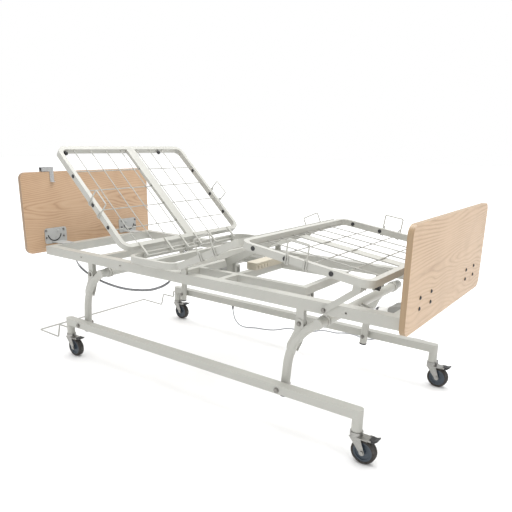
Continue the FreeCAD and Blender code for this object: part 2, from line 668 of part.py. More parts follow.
def grid(cross_at, cross_y, long_y, long_at, top, beams):
    """Welded wires between the edge beams: those across lie just under those along."""
    low = top - 3 * GRID_WIRE_R
    wires = [rod((x, cross_y[0], low), (x, cross_y[1], low), GRID_WIRE_R) for x in cross_at]
    high = top - GRID_WIRE_R + 0.05
    wires += [rod((long_at[0], y, high), (long_at[1], y, high), GRID_WIRE_R) for y in long_y]
    return group([wire.cut(beams) for wire in wires])


BACK_CROSS_U = [175 + 126.5 * k for k in range(4)]
BACK_LONG_Y = [-346 + 102 * k for k in range(4)] + [76 + 100 * k for k in range(3)]
SEC_INNER = SEC_W - BEAM_T
BACK_GRID_TOP = 13.0


def back_grid():
    span = (-BACK_U[1] + BEAM_T, -BACK_U[0] - BEAM_T)
    beams = ring((-BACK_U[1], -BACK_U[0]), (-SEC_W, SEC_W), BACK_V, BEAM_T, SEC_CORNER)
    across = [-u for u in BACK_CROSS_U]
    wires = grid(across, (-SEC_INNER, SEC_INNER), BACK_LONG_Y, span, BACK_GRID_TOP, beams)
    return place(wires, BACK_HINGE, BACK_ANGLE)


def centre_bar(x, y, z, notches):
    """Pressed bar with a shallow step at each cross wire, cut clear of the wires under it."""
    bar = box(x, y, z)
    for at in notches:
        bar = bar.cut(box((at - 3.2, at + 3.2), (y[0] - 1, y[1] + 1), (z[0] - 1, z[1] - 3)))
    return bar


BACK_BAR_Y = (0.0, 57.0)


def back_centre_bar():
    z = (BACK_GRID_TOP - 4 * GRID_WIRE_R - 2, BACK_V[1])
    x = (-BACK_U[1] + BEAM_T, -BACK_U[0] - BEAM_T)
    return place(centre_bar(x, BACK_BAR_Y, z, [-u for u in BACK_CROSS_U]), BACK_HINGE, BACK_ANGLE)


RETAINER_LONG = 92.0
RETAINER_UP = 66.0


def retainer(middle, side, v):
    """Bent wire stop for the mattress: a loop above the edge beam, clipped round its outside."""
    y = side * (SEC_W + WIRE_R + 0.3)
    under = side * (SEC_W - 14)
    top = v[1] + RETAINER_UP
    low = v[0] - WIRE_R - 0.3
    a, b = middle - RETAINER_LONG / 2, middle + RETAINER_LONG / 2
    points = [(a, under, low), (a, y, low), (a, y, top), (b, y, top), (b, y, low), (b, under, low)]
    return sweep(bent_path(points, 6.0), WIRE_R)


def back_retainers():
    loops = group([retainer(-317.0, s, BACK_V) for s in (-1, 1)])
    return place(loops, BACK_HINGE, BACK_ANGLE)


THIGH_EYE = (-3.0, -121.0)  # the same for the thigh section


KNEE_LUG_Y = (300.0, 306.0)
KNEE_LUG_R = 9.0


def thigh_frame():
    """Edge frame of the thigh section, its hinge lugs, knee lugs and the bent motor lever."""
    u0, u1 = KNEE_GAP, KNEE[0] - KNEE_GAP
    pieces = [ring((u0, u1), (-SEC_W, SEC_W), THIGH_V, BEAM_T, SEC_CORNER)]
    start = box((u0, u0 + 60), (-SEC_W, SEC_W), THIGH_V)
    start = start.cut(box((u0 + BEAM_T, u0 + 61), (-SEC_INNER, SEC_INNER), THIGH_V))
    pieces.append(start)
    for s in (-1, 1):
        y = from_middle(0, s, (THIGH_POST_Y[1] + 2, THIGH_POST_Y[1] + 8))
        pieces += [box((0, u0 + 12), y, (-10, 10)), disc_y(0, 0, 10.0, y)]
        knee_y = from_middle(0, s, KNEE_LUG_Y)
        pieces.append(box((u1 - 10, KNEE[0]), knee_y, (KNEE[1] - KNEE_LUG_R, KNEE[1] + KNEE_LUG_R)))
        pieces.append(disc_y(*KNEE, KNEE_LUG_R, knee_y))
        pieces.append(disc_y(*KNEE, M10_R, from_middle(0, s, (KNEE_LUG_Y[0], KNEE_LUG_Y[1] + 10))))
    for low, high in LEVER_Y:
        y = (THIGH_MOTOR_Y + low, THIGH_MOTOR_Y + high)
        outline = [(-15, -121), (9, -121), (45, -54), (200, -46), (u1, -30), (u1, -17), (u0, -17), (u0, -44)]
        pieces += [plate_xz(outline, y), disc_y(*THIGH_EYE, LEVER_EYE_R, y)]
    pieces += lever_bolt_heads(*THIGH_EYE, THIGH_MOTOR_Y)
    frame = fuse(pieces).cut(disc_y(0, 0, M10_R + RUN_FIT, ACROSS))
    return place(frame, THIGH_HINGE, -THIGH_ANGLE)


def thigh_retainers():
    loops = group([retainer(202.0, s, THIGH_V) for s in (-1, 1)])
    return place(loops, THIGH_HINGE, -THIGH_ANGLE)


KNEE_AT = place_point(KNEE, THIGH_HINGE, -THIGH_ANGLE)
LINK_TOP = (537.0, -37.0)  # calf link's upper end in the foot section's own frame
LINK_FOOT = (770.0, 553.0)
LINK_Y = (388.5, 394.5)
LINK_R = 12.0
KNOB_AT = (575.0, -350.0, -27.0)
KNOB_T = 15.0
KNOB_SCREW_R = 4.0
CROSS_BAR_V = -28.0
CROSS_BAR_R = 8.0
CRADLE_Y = (380.0, 386.0)      # end plates of the cross bar
CRADLE_OUT_Y = 431.0


def foot_frame():
    """Edge frame of the foot section, knee lugs, the cross bar and lugs for the calf links."""
    pieces = [ring((KNEE_GAP, FOOT_END), (-SEC_W, SEC_W), FOOT_V, BEAM_T, SEC_CORNER)]
    lu, lv = LINK_TOP
    bottom = FOOT_V[0] + 1
    pieces.append(disc_y(lu, CROSS_BAR_V, CROSS_BAR_R, (-CRADLE_Y[1], CRADLE_Y[1])))
    for s in (-1, 1):
        knee_y = from_middle(0, s, (KNEE_LUG_Y[1] + 1, KNEE_LUG_Y[1] + 7))
        pieces.append(box((0, KNEE_GAP + 10), knee_y, (-KNEE_LUG_R, KNEE_LUG_R)))
        pieces.append(disc_y(0, 0, KNEE_LUG_R, knee_y))
        for span in (CRADLE_Y, (CRADLE_OUT_Y - 7, CRADLE_OUT_Y)):
            pieces.append(box((lu - 16, lu + 16), from_middle(0, s, span), (-40, bottom)))
        shelf_y = from_middle(0, s, (CRADLE_Y[0], CRADLE_OUT_Y))
        pieces.append(box((lu - 16, lu + 16), shelf_y, (bottom - 4, bottom)))
        lug_y = from_middle(0, s, (LINK_Y[1] + 2, LINK_Y[1] + 6.5))
        pieces += [box((lu - 13, lu + 13), lug_y, (lv, bottom)), disc_y(lu, lv, 13.0, lug_y)]
        pieces.append(disc_y(lu, lv, LEVER_BOLT_R, from_middle(0, s, (LINK_Y[1] + 6, LINK_Y[1] + 11))))
    ku, ky, kv = KNOB_AT
    pieces.append(box((ku - 8, ku - 3), (ky - 14, ky + 14), (kv - 11, 0)))
    frame = fuse(pieces).cut(disc_y(0, 0, M10_R + RUN_FIT, (-320, 320)))
    frame = frame.cut(rod((ku - 10, ky, kv), (ku - 1, ky, kv), KNOB_SCREW_R + RUN_FIT))
    return place(frame, KNEE_AT, FOOT_SLOPE)


FOOT_CROSS_U = [40 + 135.5 * k for k in range(4)]
FOOT_LONG_Y = [-270 + 101 * k for k in range(3)] + [53 + 110 * k for k in range(3)]
FOOT_GRID_TOP = -4.0


def foot_grid():
    span = (KNEE_GAP + BEAM_T, FOOT_END - BEAM_T)
    beams = ring((KNEE_GAP, FOOT_END), (-SEC_W, SEC_W), FOOT_V, BEAM_T, SEC_CORNER)
    wires = grid(FOOT_CROSS_U, (-SEC_INNER, SEC_INNER), FOOT_LONG_Y, span, FOOT_GRID_TOP, beams)
    return place(wires, KNEE_AT, FOOT_SLOPE)


FOOT_BAR_Y = (-36.0, 26.0)


def foot_centre_bar():
    """Flat bar under the foot section's wires, from beam to beam."""
    top = FOOT_GRID_TOP - 4 * GRID_WIRE_R - 0.2
    bar = box((KNEE_GAP + 2, FOOT_END - 2), FOOT_BAR_Y, (FOOT_V[0] - 4, FOOT_V[0]))
    fold = [box((KNEE_GAP + BEAM_T, FOOT_END - BEAM_T), y, (FOOT_V[0] - 4, top))
            for y in ((FOOT_BAR_Y[0], FOOT_BAR_Y[0] + 4), (FOOT_BAR_Y[1] - 4, FOOT_BAR_Y[1]))]
    return place(fuse([bar] + fold), KNEE_AT, FOOT_SLOPE)


def foot_retainers():
    loops = group([retainer(287.0, s, FOOT_V) for s in (-1, 1)])
    return place(loops, KNEE_AT, FOOT_SLOPE)


def adjuster_knob():
    """Five-lobed hand knob on a screw through the foot section's rear lug."""
    ku, ky, kv = KNOB_AT
    core = rod((ku, ky, kv), (ku + KNOB_T, ky, kv), 8.5)
    stub = rod((ku - 16, ky, kv), (ku + 2, ky, kv), KNOB_SCREW_R)
    lobes = []
    for k in range(5):
        a = math.radians(72 * k)
        y, z = ky + 7.5 * math.cos(a), kv + 7.5 * math.sin(a)
        lobes.append(rod((ku, y, z), (ku + KNOB_T, y, z), 4.0))
    return place(fuse([core, stub] + lobes), KNEE_AT, FOOT_SLOPE)


def calf_link(side):
    """Flat bar from the deck rail up to the foot section's lug."""
    tx, tz = place_point(LINK_TOP, KNEE_AT, FOOT_SLOPE)
    fx, fz = LINK_FOOT
    length = math.hypot(tx - fx, tz - fz)
    slope = math.degrees(math.atan2(tz - fz, tx - fx))
    y = LINK_Y if side > 0 else both(LINK_Y)
    ends = [disc_y(at, 0, LINK_R, y) for at in (0, length)]
    bar = fuse([box((0, length), y, (-LINK_R, LINK_R))] + ends).cut(disc_y(0, 0, M10_R + RUN_FIT, ACROSS))
    return place(bar, LINK_FOOT, -slope)


def calf_pivot_bolts():
    """Shoulder bolts screwed into the deck rails, one under each calf link."""
    bolts = []
    x, z = LINK_FOOT
    for s in (-1, 1):
        shank = disc_y(x, z, M10_R, (-LINK_Y[1] - 1.5, -RAIL_OUT))
        head = disc_y(x, z, M10_HEAD_R, (-LINK_Y[1] - 6.5, -LINK_Y[1] - 0.5))
        bolt = fuse([shank, head])
        bolts.append(bolt if s < 0 else bolt.mirror(V(0, 0, 0), Y_AXIS))
    return bolts


# ---- linear actuators ---------------------------------------------------------------------------
BACK_TIP = place_point(BACK_EYE, BACK_HINGE, BACK_ANGLE)
THIGH_TIP = place_point(THIGH_EYE, THIGH_HINGE, -THIGH_ANGLE)
HEAD_TIP = (LEG_PIVOT_X["head"] + CROSS_TUBE[0] + LEVER_TIP[0], LEG_PIVOT_Z + CROSS_TUBE[1] + LEVER_TIP[1])
FOOT_TIP = (LEG_PIVOT_X["foot"] + CROSS_TUBE[0] + LEVER_TIP[0], LEG_PIVOT_Z + CROSS_TUBE[1] + LEVER_TIP[1])

# name: motor pivot, eye of the rod, y, distance from the tube's mouth to the eye, hidden rod length
ACTUATORS = {
    "hilo_head": (HEAD_MOTOR, HEAD_TIP, HILO_Y, 54.0, 170.0),
    "hilo_foot": (FOOT_MOTOR, FOOT_TIP, HILO_Y, 42.0, 150.0),
    "back": (BACK_MOTOR, BACK_TIP, BACK_MOTOR_Y, 112.0, 55.0),
    "thigh": (THIGH_MOTOR, THIGH_TIP, THIGH_MOTOR_Y, 60.0, 110.0),
}
HOUSING_X = (24.0, 140.0)  # the motor's housing, along the actuator from the tail pivot
HOUSING_Z = (-45.0, 30.0)
HOUSING_HALF = 41.0
HOUSING_EDGE_R = 16.0
TAIL_HALF = 9.5
EYE_R = 11.0
TUBE_R = 17.0
ROD_R = 10.0
ROD_GAP = 0.4              # radial gap between the rod and its tube
ROD_EYE_HALF = 8.0


def actuator_turn(pivot, tip):
    return -math.degrees(math.atan2(tip[1] - pivot[1], tip[0] - pivot[0]))


def actuator_motor(pivot, tip, y0, mouth):
    """Motor housing, tail and outer tube, built along +X from the pivot and turned to the eye."""
    length = math.hypot(tip[0] - pivot[0], tip[1] - pivot[1])
    z = HOUSING_Z if tip[0] > pivot[0] else both(HOUSING_Z)
    housing = box(HOUSING_X, (y0 - HOUSING_HALF, y0 + HOUSING_HALF), z)
    long_edges = [e for e in housing.Edges if abs(e.tangentAt(e.FirstParameter).y) > 0.9]
    housing = housing.makeFillet(HOUSING_EDGE_R, long_edges)
    tail_y = (y0 - TAIL_HALF, y0 + TAIL_HALF)
    tail = box((0, HOUSING_X[0] + 2), tail_y, (-EYE_R, EYE_R)).fuse(disc_y(0, 0, EYE_R, tail_y))
    tube = rod((HOUSING_X[1] - 5, y0, 0), (length - mouth, y0, 0), TUBE_R)
    whole = fuse([housing, tail, tube]).cut(rod((HOUSING_X[0] + 6, y0, 0), (length, y0, 0), ROD_R + ROD_GAP))
    whole = whole.cut(disc_y(0, 0, PIN_R + RUN_FIT, (y0 - 20, y0 + 20)))
    return place(whole, pivot, actuator_turn(pivot, tip))


def actuator_rod(pivot, tip, y0, mouth, hidden):
    length = math.hypot(tip[0] - pivot[0], tip[1] - pivot[1])
    shaft = rod((length - mouth - hidden, y0, 0), (length - 8, y0, 0), ROD_R)
    eye = disc_y(length, 0, EYE_R, (y0 - ROD_EYE_HALF, y0 + ROD_EYE_HALF))
    bore = disc_y(length, 0, M10_R, (y0 - 2 * ROD_R, y0 + 2 * ROD_R))
    return place(fuse([eye, shaft]).cut(bore), pivot, actuator_turn(pivot, tip))


# ---- cords ----------------------------------------------------------------------------------------
LEAD_R = 3.5
LEAD_ROUTE = [
    (-337, 455, 136), (-334, 458, 98), (-326, 468, 60), (-310, 490, 24), (-286, 527, 3.5),
    (-243, 560, 3.5), (-187, 571, 3.5), (-131, 589, 3.5), (-97, 626, 3.5), (-79, 672, 3.5),
    (-41, 699, 3.5), (10, 694, 3.5), (58, 693, 3.5), (92, 716, 3.5), (107, 760, 3.5),
    (137, 795, 3.5), (183, 800, 3.5), (224, 799, 3.5), (253, 827, 3.5), (296, 847, 3.5),
    (346, 841, 3.5), (397, 816, 3.5), (440, 821, 3.5), (467, 859, 3.5), (489, 912, 3.5),
    (527, 962, 3.5), (584, 997, 3.5), (652, 1016, 3.5), (715, 1015, 3.5), (766, 989, 3.5),
    (799, 943, 3.5), (827, 888, 3.5), (849, 832, 3.5), (866, 779, 5.5), (880, 733, 10.0),
]
CLIP_BOOT = 32.0           # length of the strain relief's boot
PLUG_NECK = 18.0
PLUG_LONG = 46.0
PLUG_HALF = (15.0, 9.5)
BLADE_LONG = 18.0

CURLY_R = 6.5
CURLY_Y = -326.0
CURLY_XZ = [(-842, 546), (-832, 512), (-800, 481), (-752, 459), (-692, 441), (-630, 429), (-566, 421),
            (-500, 417), (-434, 417), (-370, 422), (-306, 431), (-244, 443), (-188, 463), (-137, 487),
            (-98, 517), (-76, 548)]


def cord_tube(name, route, radius):
    path, radii = rounded_path(route)
    tube = sweep(path, radius)
    section = math.pi * radius ** 2
    print(name, "length", round(path.Length), "smallest radius", round(min(radii), 1),
          "volume ratio", round(tube.Volume / (section * path.Length), 4))
    print(name, "radii", [round(r) for r in radii])
    return tube


def lead_clip():
    """Strain relief of the mains lead on the far lower rail, tapering down over the lead."""
    x, y, z = LEAD_ROUTE[0]
    boot_top = z + CLIP_BOOT
    body = box((x - 14, x + 14), (LOW_RAIL_OUT, LOW_RAIL_OUT + 19), (boot_top, boot_top + 28))
    boot = cone((x, y, boot_top), (x, y, z), 8.5, LEAD_R + 1.5)
    return fuse([body, boot])


def mains_plug():
    """Moulded plug with two blades, lying behind the far foot-end caster."""
    end, before = V(*LEAD_ROUTE[-1]), V(*LEAD_ROUTE[-2])
    along = V(end.x - before.x, end.y - before.y, 0).normalize()
    turn = math.degrees(math.atan2(along.y, along.x))
    neck = cone((0, 0, 0), (PLUG_NECK, 0, 0), LEAD_R + 1, 8.0)
    start = PLUG_NECK - 2
    end_x = start + PLUG_LONG
    body = box((start, end_x), (-PLUG_HALF[0], PLUG_HALF[0]), (-PLUG_HALF[1], PLUG_HALF[1]))
    body = body.makeFillet(4.0, body.Edges)
    blades = [box((end_x - 1, end_x + BLADE_LONG), (s * 6 - 0.8, s * 6 + 0.8), (-3.2, 3.2)) for s in (-1, 1)]
    plug = fuse([neck, body] + blades)
    plug.Placement = FreeCAD.Placement(end, FreeCAD.Rotation(V(0, 0, 1), turn))
    return plug


def hand_cord():
    """Curly hand-control cord: one tube of its outer diameter, hung under the near deck rail."""
    return cord_tube("hand_control_cord", [(x, CURLY_Y, z) for x, z in CURLY_XZ], CURLY_R)


# ---- the whole bed --------------------------------------------------------------------------------
def main():
    os.makedirs("parts", exist_ok=True)
    sides = {"near": -1, "far": 1}
    for side, s in sides.items():
        export("lower_rail_" + side, lower_rail(s))
        export("deck_rail_" + side, deck_rail(s))
    export("leg_pivot_bolts", group([leg_pivot_bolt(x, s) for x in LEG_PIVOT_X.values() for s in (-1, 1)]))
    export("wall_bumper_wire", wall_bumper())
    for end, x in SOCKET_X.items():
        for side, s in sides.items():
            tag = end + "_" + side
            export("caster_fork_" + tag, caster_fork(x, s))
            export("caster_tyre_" + tag, caster_tyre(x, s))
            export("caster_hub_" + tag, caster_hub(x, s))
            export("brake_pedal_" + tag, caster_pedal(x, s))
    for end in LEG_PIVOT_X:
        export("leg_frame_" + end, leg_frame(end))
    top_bolts = [leg_top_bolt(end, s) for end in LEG_PIVOT_X for s in (-1, 1)]
    export("frame_pivot_bolts", group(top_bolts + calf_pivot_bolts()))
    export("deck_cross_members", deck_cross_members())
    export("leg_posts", group([leg_post(end, s) for end in LEG_PIVOT_X for s in (-1, 1)]))
    export("mech_frame", mech_frame())
    export("seat_frame", seat_frame())
    export("headboard", board(HEADBOARD_OUT_X, 1, HEADBOARD_Z))
    export("footboard", board(BOARD_OUT_X, -1, FOOTBOARD_Z))
    export("board_brackets", board_brackets())
    export("board_bolts", board_bolts())
    export("pendant_hook", pendant_hook())
    export("control_box", control_box())
    export("hand_control_cord", hand_cord())
    export("back_frame", back_frame())
    export("back_grid", back_grid())
    export("back_centre_bar", back_centre_bar())
    export("back_retainers", back_retainers())
    export("thigh_frame", thigh_frame())
    export("thigh_retainers", thigh_retainers())
    export("foot_frame", foot_frame())
    export("foot_grid", foot_grid())
    export("foot_centre_bar", foot_centre_bar())
    export("foot_retainers", foot_retainers())
    export("adjuster_knob", adjuster_knob())
    export("calf_links", group([calf_link(s) for s in (-1, 1)]))
    for name, values in ACTUATORS.items():
        export(name + "_motor", actuator_motor(*values[:4]))
        export(name + "_rod", actuator_rod(*values))
    export("lead_clip", lead_clip())
    export("mains_lead", cord_tube("mains_lead", LEAD_ROUTE, LEAD_R))
    export("mains_plug", mains_plug())


main()
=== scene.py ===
import json
import math

import bmesh
import bpy
from mathutils import Matrix, Vector


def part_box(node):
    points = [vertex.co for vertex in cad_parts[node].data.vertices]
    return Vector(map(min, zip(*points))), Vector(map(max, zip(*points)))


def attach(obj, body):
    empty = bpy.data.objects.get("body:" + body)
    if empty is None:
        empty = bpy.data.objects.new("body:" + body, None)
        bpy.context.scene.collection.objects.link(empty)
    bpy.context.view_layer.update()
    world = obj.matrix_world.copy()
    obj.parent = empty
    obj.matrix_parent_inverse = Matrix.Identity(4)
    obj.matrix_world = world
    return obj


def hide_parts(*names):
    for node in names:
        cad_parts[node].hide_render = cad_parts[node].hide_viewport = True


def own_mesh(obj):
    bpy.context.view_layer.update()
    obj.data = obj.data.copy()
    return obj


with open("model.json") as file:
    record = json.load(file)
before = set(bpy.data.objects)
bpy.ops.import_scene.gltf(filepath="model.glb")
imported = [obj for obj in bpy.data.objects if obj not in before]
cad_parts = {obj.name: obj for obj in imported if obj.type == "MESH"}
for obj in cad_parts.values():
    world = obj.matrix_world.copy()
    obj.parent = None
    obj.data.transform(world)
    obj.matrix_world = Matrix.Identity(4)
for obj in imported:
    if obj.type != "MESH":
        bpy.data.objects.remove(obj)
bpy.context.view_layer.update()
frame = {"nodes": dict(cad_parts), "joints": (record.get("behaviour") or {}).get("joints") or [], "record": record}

NODES = frame["nodes"]
RECORD = frame["record"]
SLOT_OF = {p["node"]: p["material_slot"] for p in RECORD["subparts"]}
JOINTS = {j["name"]: j for j in frame["joints"]}

# ---- camera ------------------------------------------------------------------------------------
CAMERA_AT = Vector((1.7058, -2.1273, 1.1619))
CAMERA_AZIMUTH = math.radians(35.81)
CAMERA_DOWN = math.radians(16.25)
CAMERA_ROLL = math.radians(0.9)
CAMERA_LENS = 38.07
CAMERA_SHIFT_UP = 0.0846


def make_camera():
    data = bpy.data.cameras.new("camera")
    data.lens = CAMERA_LENS
    data.sensor_width = 36.0
    data.shift_y = CAMERA_SHIFT_UP
    data.clip_end = 60.0
    camera = bpy.data.objects.new("camera", data)
    bpy.context.scene.collection.objects.link(camera)
    turn = Matrix.Rotation(CAMERA_AZIMUTH, 4, "Z") @ Matrix.Rotation(math.pi / 2 - CAMERA_DOWN, 4, "X")
    camera.matrix_world = Matrix.Translation(CAMERA_AT) @ turn @ Matrix.Rotation(CAMERA_ROLL, 4, "Z")
    bpy.context.scene.camera = camera


make_camera()


# ---- materials ---------------------------------------------------------------------------------
class Nodes:
    """A small helper that adds shader nodes to one material and links them."""

    def __init__(self, name):
        self.material = bpy.data.materials.new(name)
        self.material.use_nodes = True
        self.tree = self.material.node_tree
        self.shader = self.tree.nodes["Principled BSDF"]
        self.place = self.add("ShaderNodeTexCoord").outputs["Object"]

    def add(self, kind, values=None, **settings):
        node = self.tree.nodes.new(kind)
        for key, value in settings.items():
            setattr(node, key, value)
        for key, value in (values or {}).items():
            if isinstance(value, bpy.types.NodeSocket):
                self.tree.links.new(value, node.inputs[key])
            else:
                node.inputs[key].default_value = value
        return node

    def math(self, operation, *values):
        return self.add("ShaderNodeMath", dict(enumerate(values)), operation=operation).outputs[0]

    def noise(self, scale, detail=3.0, roughness=0.5, place=None):
        values = {"Vector": place or self.place, "Scale": scale, "Detail": detail, "Roughness": roughness}
        return self.add("ShaderNodeTexNoise", values).outputs["Fac"]

    def stretch(self, scale, place=None):
        values = {"Vector": place or self.place, "Scale": scale}
        return self.add("ShaderNodeMapping", values).outputs["Vector"]

    def ramp(self, value, stops):
        """A colour or grey ramp; stops are (position, colour or grey)."""
        node = self.add("ShaderNodeValToRGB", {"Fac": value})
        elements = node.color_ramp.elements
        while len(elements) < len(stops):
            elements.new(0.5)
        for element, (position, colour) in zip(elements, stops):
            grey = not hasattr(colour, "__len__")
            element.position = position
            element.color = (colour, colour, colour, 1) if grey else (*colour, 1)
        return node.outputs["Color"]

    def mix(self, factor, a, b):
        node = self.add("ShaderNodeMix", {0: factor}, data_type="RGBA")
        for index, value in ((6, a), (7, b)):
            if isinstance(value, bpy.types.NodeSocket):
                self.tree.links.new(value, node.inputs[index])
            else:
                node.inputs[index].default_value = (*value, 1)
        return node.outputs[2]

    def bump(self, height, distance, strength=1.0):
        values = {"Height": height, "Distance": distance, "Strength": strength}
        return self.add("ShaderNodeBump", values).outputs["Normal"]

    def finish(self, colour, roughness, normal=None, **sockets):
        for key, value in (("Base Color", colour), ("Roughness", roughness), ("Normal", normal)):
            if isinstance(value, bpy.types.NodeSocket):
                self.tree.links.new(value, self.shader.inputs[key])
            elif value is not None:
                self.shader.inputs[key].default_value = (*value, 1) if key == "Base Color" else value
        for key, value in sockets.items():
            self.shader.inputs[key.replace("_", " ")].default_value = value
        return self.material


def shade(colour, factor):
    return tuple(c * factor for c in colour)


def painted(name, colour, grain=900.0, rough=(0.34, 0.5), **sockets):
    """Powder coat or moulded plastic: faint cloudy colour, fine orange peel, scattered darker specks."""
    n = Nodes(name)
    cloud = n.ramp(n.noise(6.0, 4.0), [(0.3, shade(colour, 0.965)), (0.7, colour)])
    speck = n.noise(grain * 0.3, 2.0)
    tint = n.mix(n.ramp(speck, [(0.62, 0.0), (0.75, 0.25)]), cloud, shade(colour, 0.86))
    wear = n.ramp(n.noise(14.0, 5.0), [(0.35, rough[0]), (0.7, rough[1])])
    return n.finish(tint, wear, n.bump(n.noise(grain, 2.0), 0.0006, 0.25), **sockets)


def plated(name, colour, rough=(0.28, 0.45), **sockets):
    """Zinc plate or bright steel: cloudy crystals and fine brushing."""
    n = Nodes(name)
    spots = n.ramp(n.noise(160.0, 4.0, 0.65), [(0.3, shade(colour, 0.72)), (0.7, colour)])
    wear = n.ramp(n.noise(60.0, 3.0), [(0.3, rough[0]), (0.7, rough[1])])
    brush = n.noise(700.0, 2.0, 0.5, n.stretch((1.0, 0.1, 1.0)))
    return n.finish(spots, wear, n.bump(brush, 0.0003, 0.3), Metallic=1.0, **sockets)


def rubber(name, colour):
    n = Nodes(name)
    dust = n.ramp(n.noise(55.0, 5.0), [(0.45, colour), (0.75, tuple(c + 0.045 for c in colour))])
    wear = n.ramp(n.noise(40.0), [(0.3, 0.62), (0.7, 0.85)])
    return n.finish(dust, wear, n.bump(n.noise(500.0), 0.0008, 0.4))


def laminate(name, pale, mid, dark, band, apex):
    """Flat-sawn oak laminate with its grain along Y, arched about (y, z) apex, and a banded edge."""
    n = Nodes(name)
    split = n.add("ShaderNodeSeparateXYZ", {"Vector": n.place})
    y, z = split.outputs["Y"], split.outputs["Z"]
    drift = n.noise(1.0, 2.0, 0.45, n.stretch((1.0, 1.9, 6.5)))
    spread = n.noise(1.0, 1.0, 0.4, n.stretch((1.0, 0.9, 3.1)))
    ripple = n.noise(1.0, 3.0, 0.5, n.stretch((1.0, 4.0, 40.0)))
    rise = n.math("SUBTRACT", z, n.math("MULTIPLY_ADD", drift, 0.08, apex[1] - 0.04))
    arch = n.math("SQRT", n.math("MULTIPLY_ADD", rise, rise, 0.0006))
    arch = n.math("MULTIPLY", arch, n.math("MULTIPLY_ADD", spread, 120.0, 20.0))
    along = n.math("MULTIPLY", n.math("SUBTRACT", y, apex[0]), 4.5)
    rings = n.math("ADD", n.math("SUBTRACT", arch, along), n.math("MULTIPLY", drift, 7.0))
    rings = n.math("ADD", rings, n.math("MULTIPLY", ripple, 0.7))
    wave = n.math("FRACT", n.math("ABSOLUTE", rings))
    tone = n.ramp(wave, [(0.0, dark), (0.14, mid), (0.5, pale), (0.85, mid), (1.0, dark)])
    pores = n.noise(1.0, 5.0, 0.7, n.stretch((1.0, 9.0, 620.0)))
    tone = n.mix(n.ramp(pores, [(0.48, 0.0), (0.68, 0.6)]), tone, shade(mid, 0.80))
    tone = n.mix(n.ramp(n.noise(3.0, 3.0), [(0.42, 0.0), (0.62, 0.55)]), tone, pale)
    tone = n.mix(n.ramp(n.noise(5.5, 2.0), [(0.52, 0.0), (0.72, 0.45)]), tone, shade(mid, 0.84))
    normal = n.add("ShaderNodeNewGeometry").outputs["Normal"]
    facing = n.add("ShaderNodeSeparateXYZ", {"Vector": normal}).outputs["X"]
    edge = n.math("LESS_THAN", n.math("ABSOLUTE", facing), 0.6)
    fibre = n.noise(1.0, 3.0, 0.6, n.stretch((300.0, 12.0, 12.0)))
    streak = n.ramp(fibre, [(0.3, shade(band, 0.85)), (0.7, band)])
    tone = n.mix(edge, tone, streak)
    gloss = n.ramp(pores, [(0.3, 0.34), (0.75, 0.5)])
    return n.finish(tone, gloss, n.bump(pores, 0.0004, 0.25), Coat_Weight=0.12, Coat_Roughness=0.25)


def actuator(name, joint, slide, grey, white):
    """Grey motor housing up to a distance from its pivot, then a glossy white tube."""
    n = Nodes(name)
    axis = Vector(JOINTS[slide]["axis"])
    pivot = Vector(JOINTS[joint]["pos_m"])
    run = n.add("ShaderNodeVectorMath", {0: n.place, 1: tuple(axis)}, operation="DOT_PRODUCT")
    past = n.math("GREATER_THAN", run.outputs["Value"], pivot.dot(axis) + HOUSING_END)
    cloud = n.ramp(n.noise(22.0, 3.0), [(0.35, shade(grey, 0.9)), (0.65, grey)])
    colour = n.mix(past, cloud, white)
    rough = n.math("MULTIPLY_ADD", past, -0.22, n.ramp(n.noise(30.0), [(0.3, 0.42), (0.7, 0.5)]))
    return n.finish(colour, rough, n.bump(n.noise(1300.0, 2.0), 0.0004, 0.2))


HOUSING_END = 0.1405       # where a motor's housing stops, from its tail pivot
WHITE = (0.44, 0.438, 0.402)
STEEL_WHITE = painted("steel_white", WHITE)
WIRE_WHITE = painted("wire_white", shade(WHITE, 0.84))
BRACKET_WHITE = painted("bracket_white", (0.42, 0.425, 0.415))
BLACK_PLASTIC = painted("black_plastic_mat", (0.018, 0.018, 0.019), 700.0, (0.38, 0.55))
DARK_GREY = painted("dark_grey_mat", (0.10, 0.10, 0.11), 700.0, (0.4, 0.6))
BEIGE = painted("beige_mat", (0.50, 0.46, 0.37), 800.0, (0.4, 0.55))
CABLE_GREY = painted("cable_grey_mat", (0.30, 0.31, 0.33), 900.0, (0.45, 0.6))
CURLY_MAT = painted("curly_mat", (0.17, 0.175, 0.185), 900.0, (0.3, 0.45))
DISC_MAT = painted("wheel_disc_mat", (0.05, 0.066, 0.085), 700.0, (0.35, 0.5))
PAPER = painted("blank_label", (0.83, 0.83, 0.82), 1200.0, (0.5, 0.6))
ZINC = plated("zinc_mat", (0.40, 0.395, 0.375))
DARK_ZINC = plated("dark_zinc_mat", (0.30, 0.29, 0.27), (0.35, 0.55))
CHROME = plated("chrome_mat", (0.82, 0.82, 0.83), (0.08, 0.16))
BRIGHT = plated("bright_steel_mat", (0.66, 0.67, 0.68), (0.25, 0.4))
TYRE = rubber("tyre_mat", (0.026, 0.022, 0.019))
HEAD_WOOD = laminate("headboard_laminate", pale=(0.53, 0.365, 0.235), mid=(0.47, 0.305, 0.185),
                     dark=(0.34, 0.20, 0.11), band=(0.30, 0.20, 0.12), apex=(0.35, 0.80))
FOOT_WOOD = laminate("footboard_laminate", pale=(0.55, 0.38, 0.235), mid=(0.48, 0.32, 0.185),
                     dark=(0.36, 0.225, 0.12), band=(0.36, 0.25, 0.145), apex=(-0.5, 0.74))

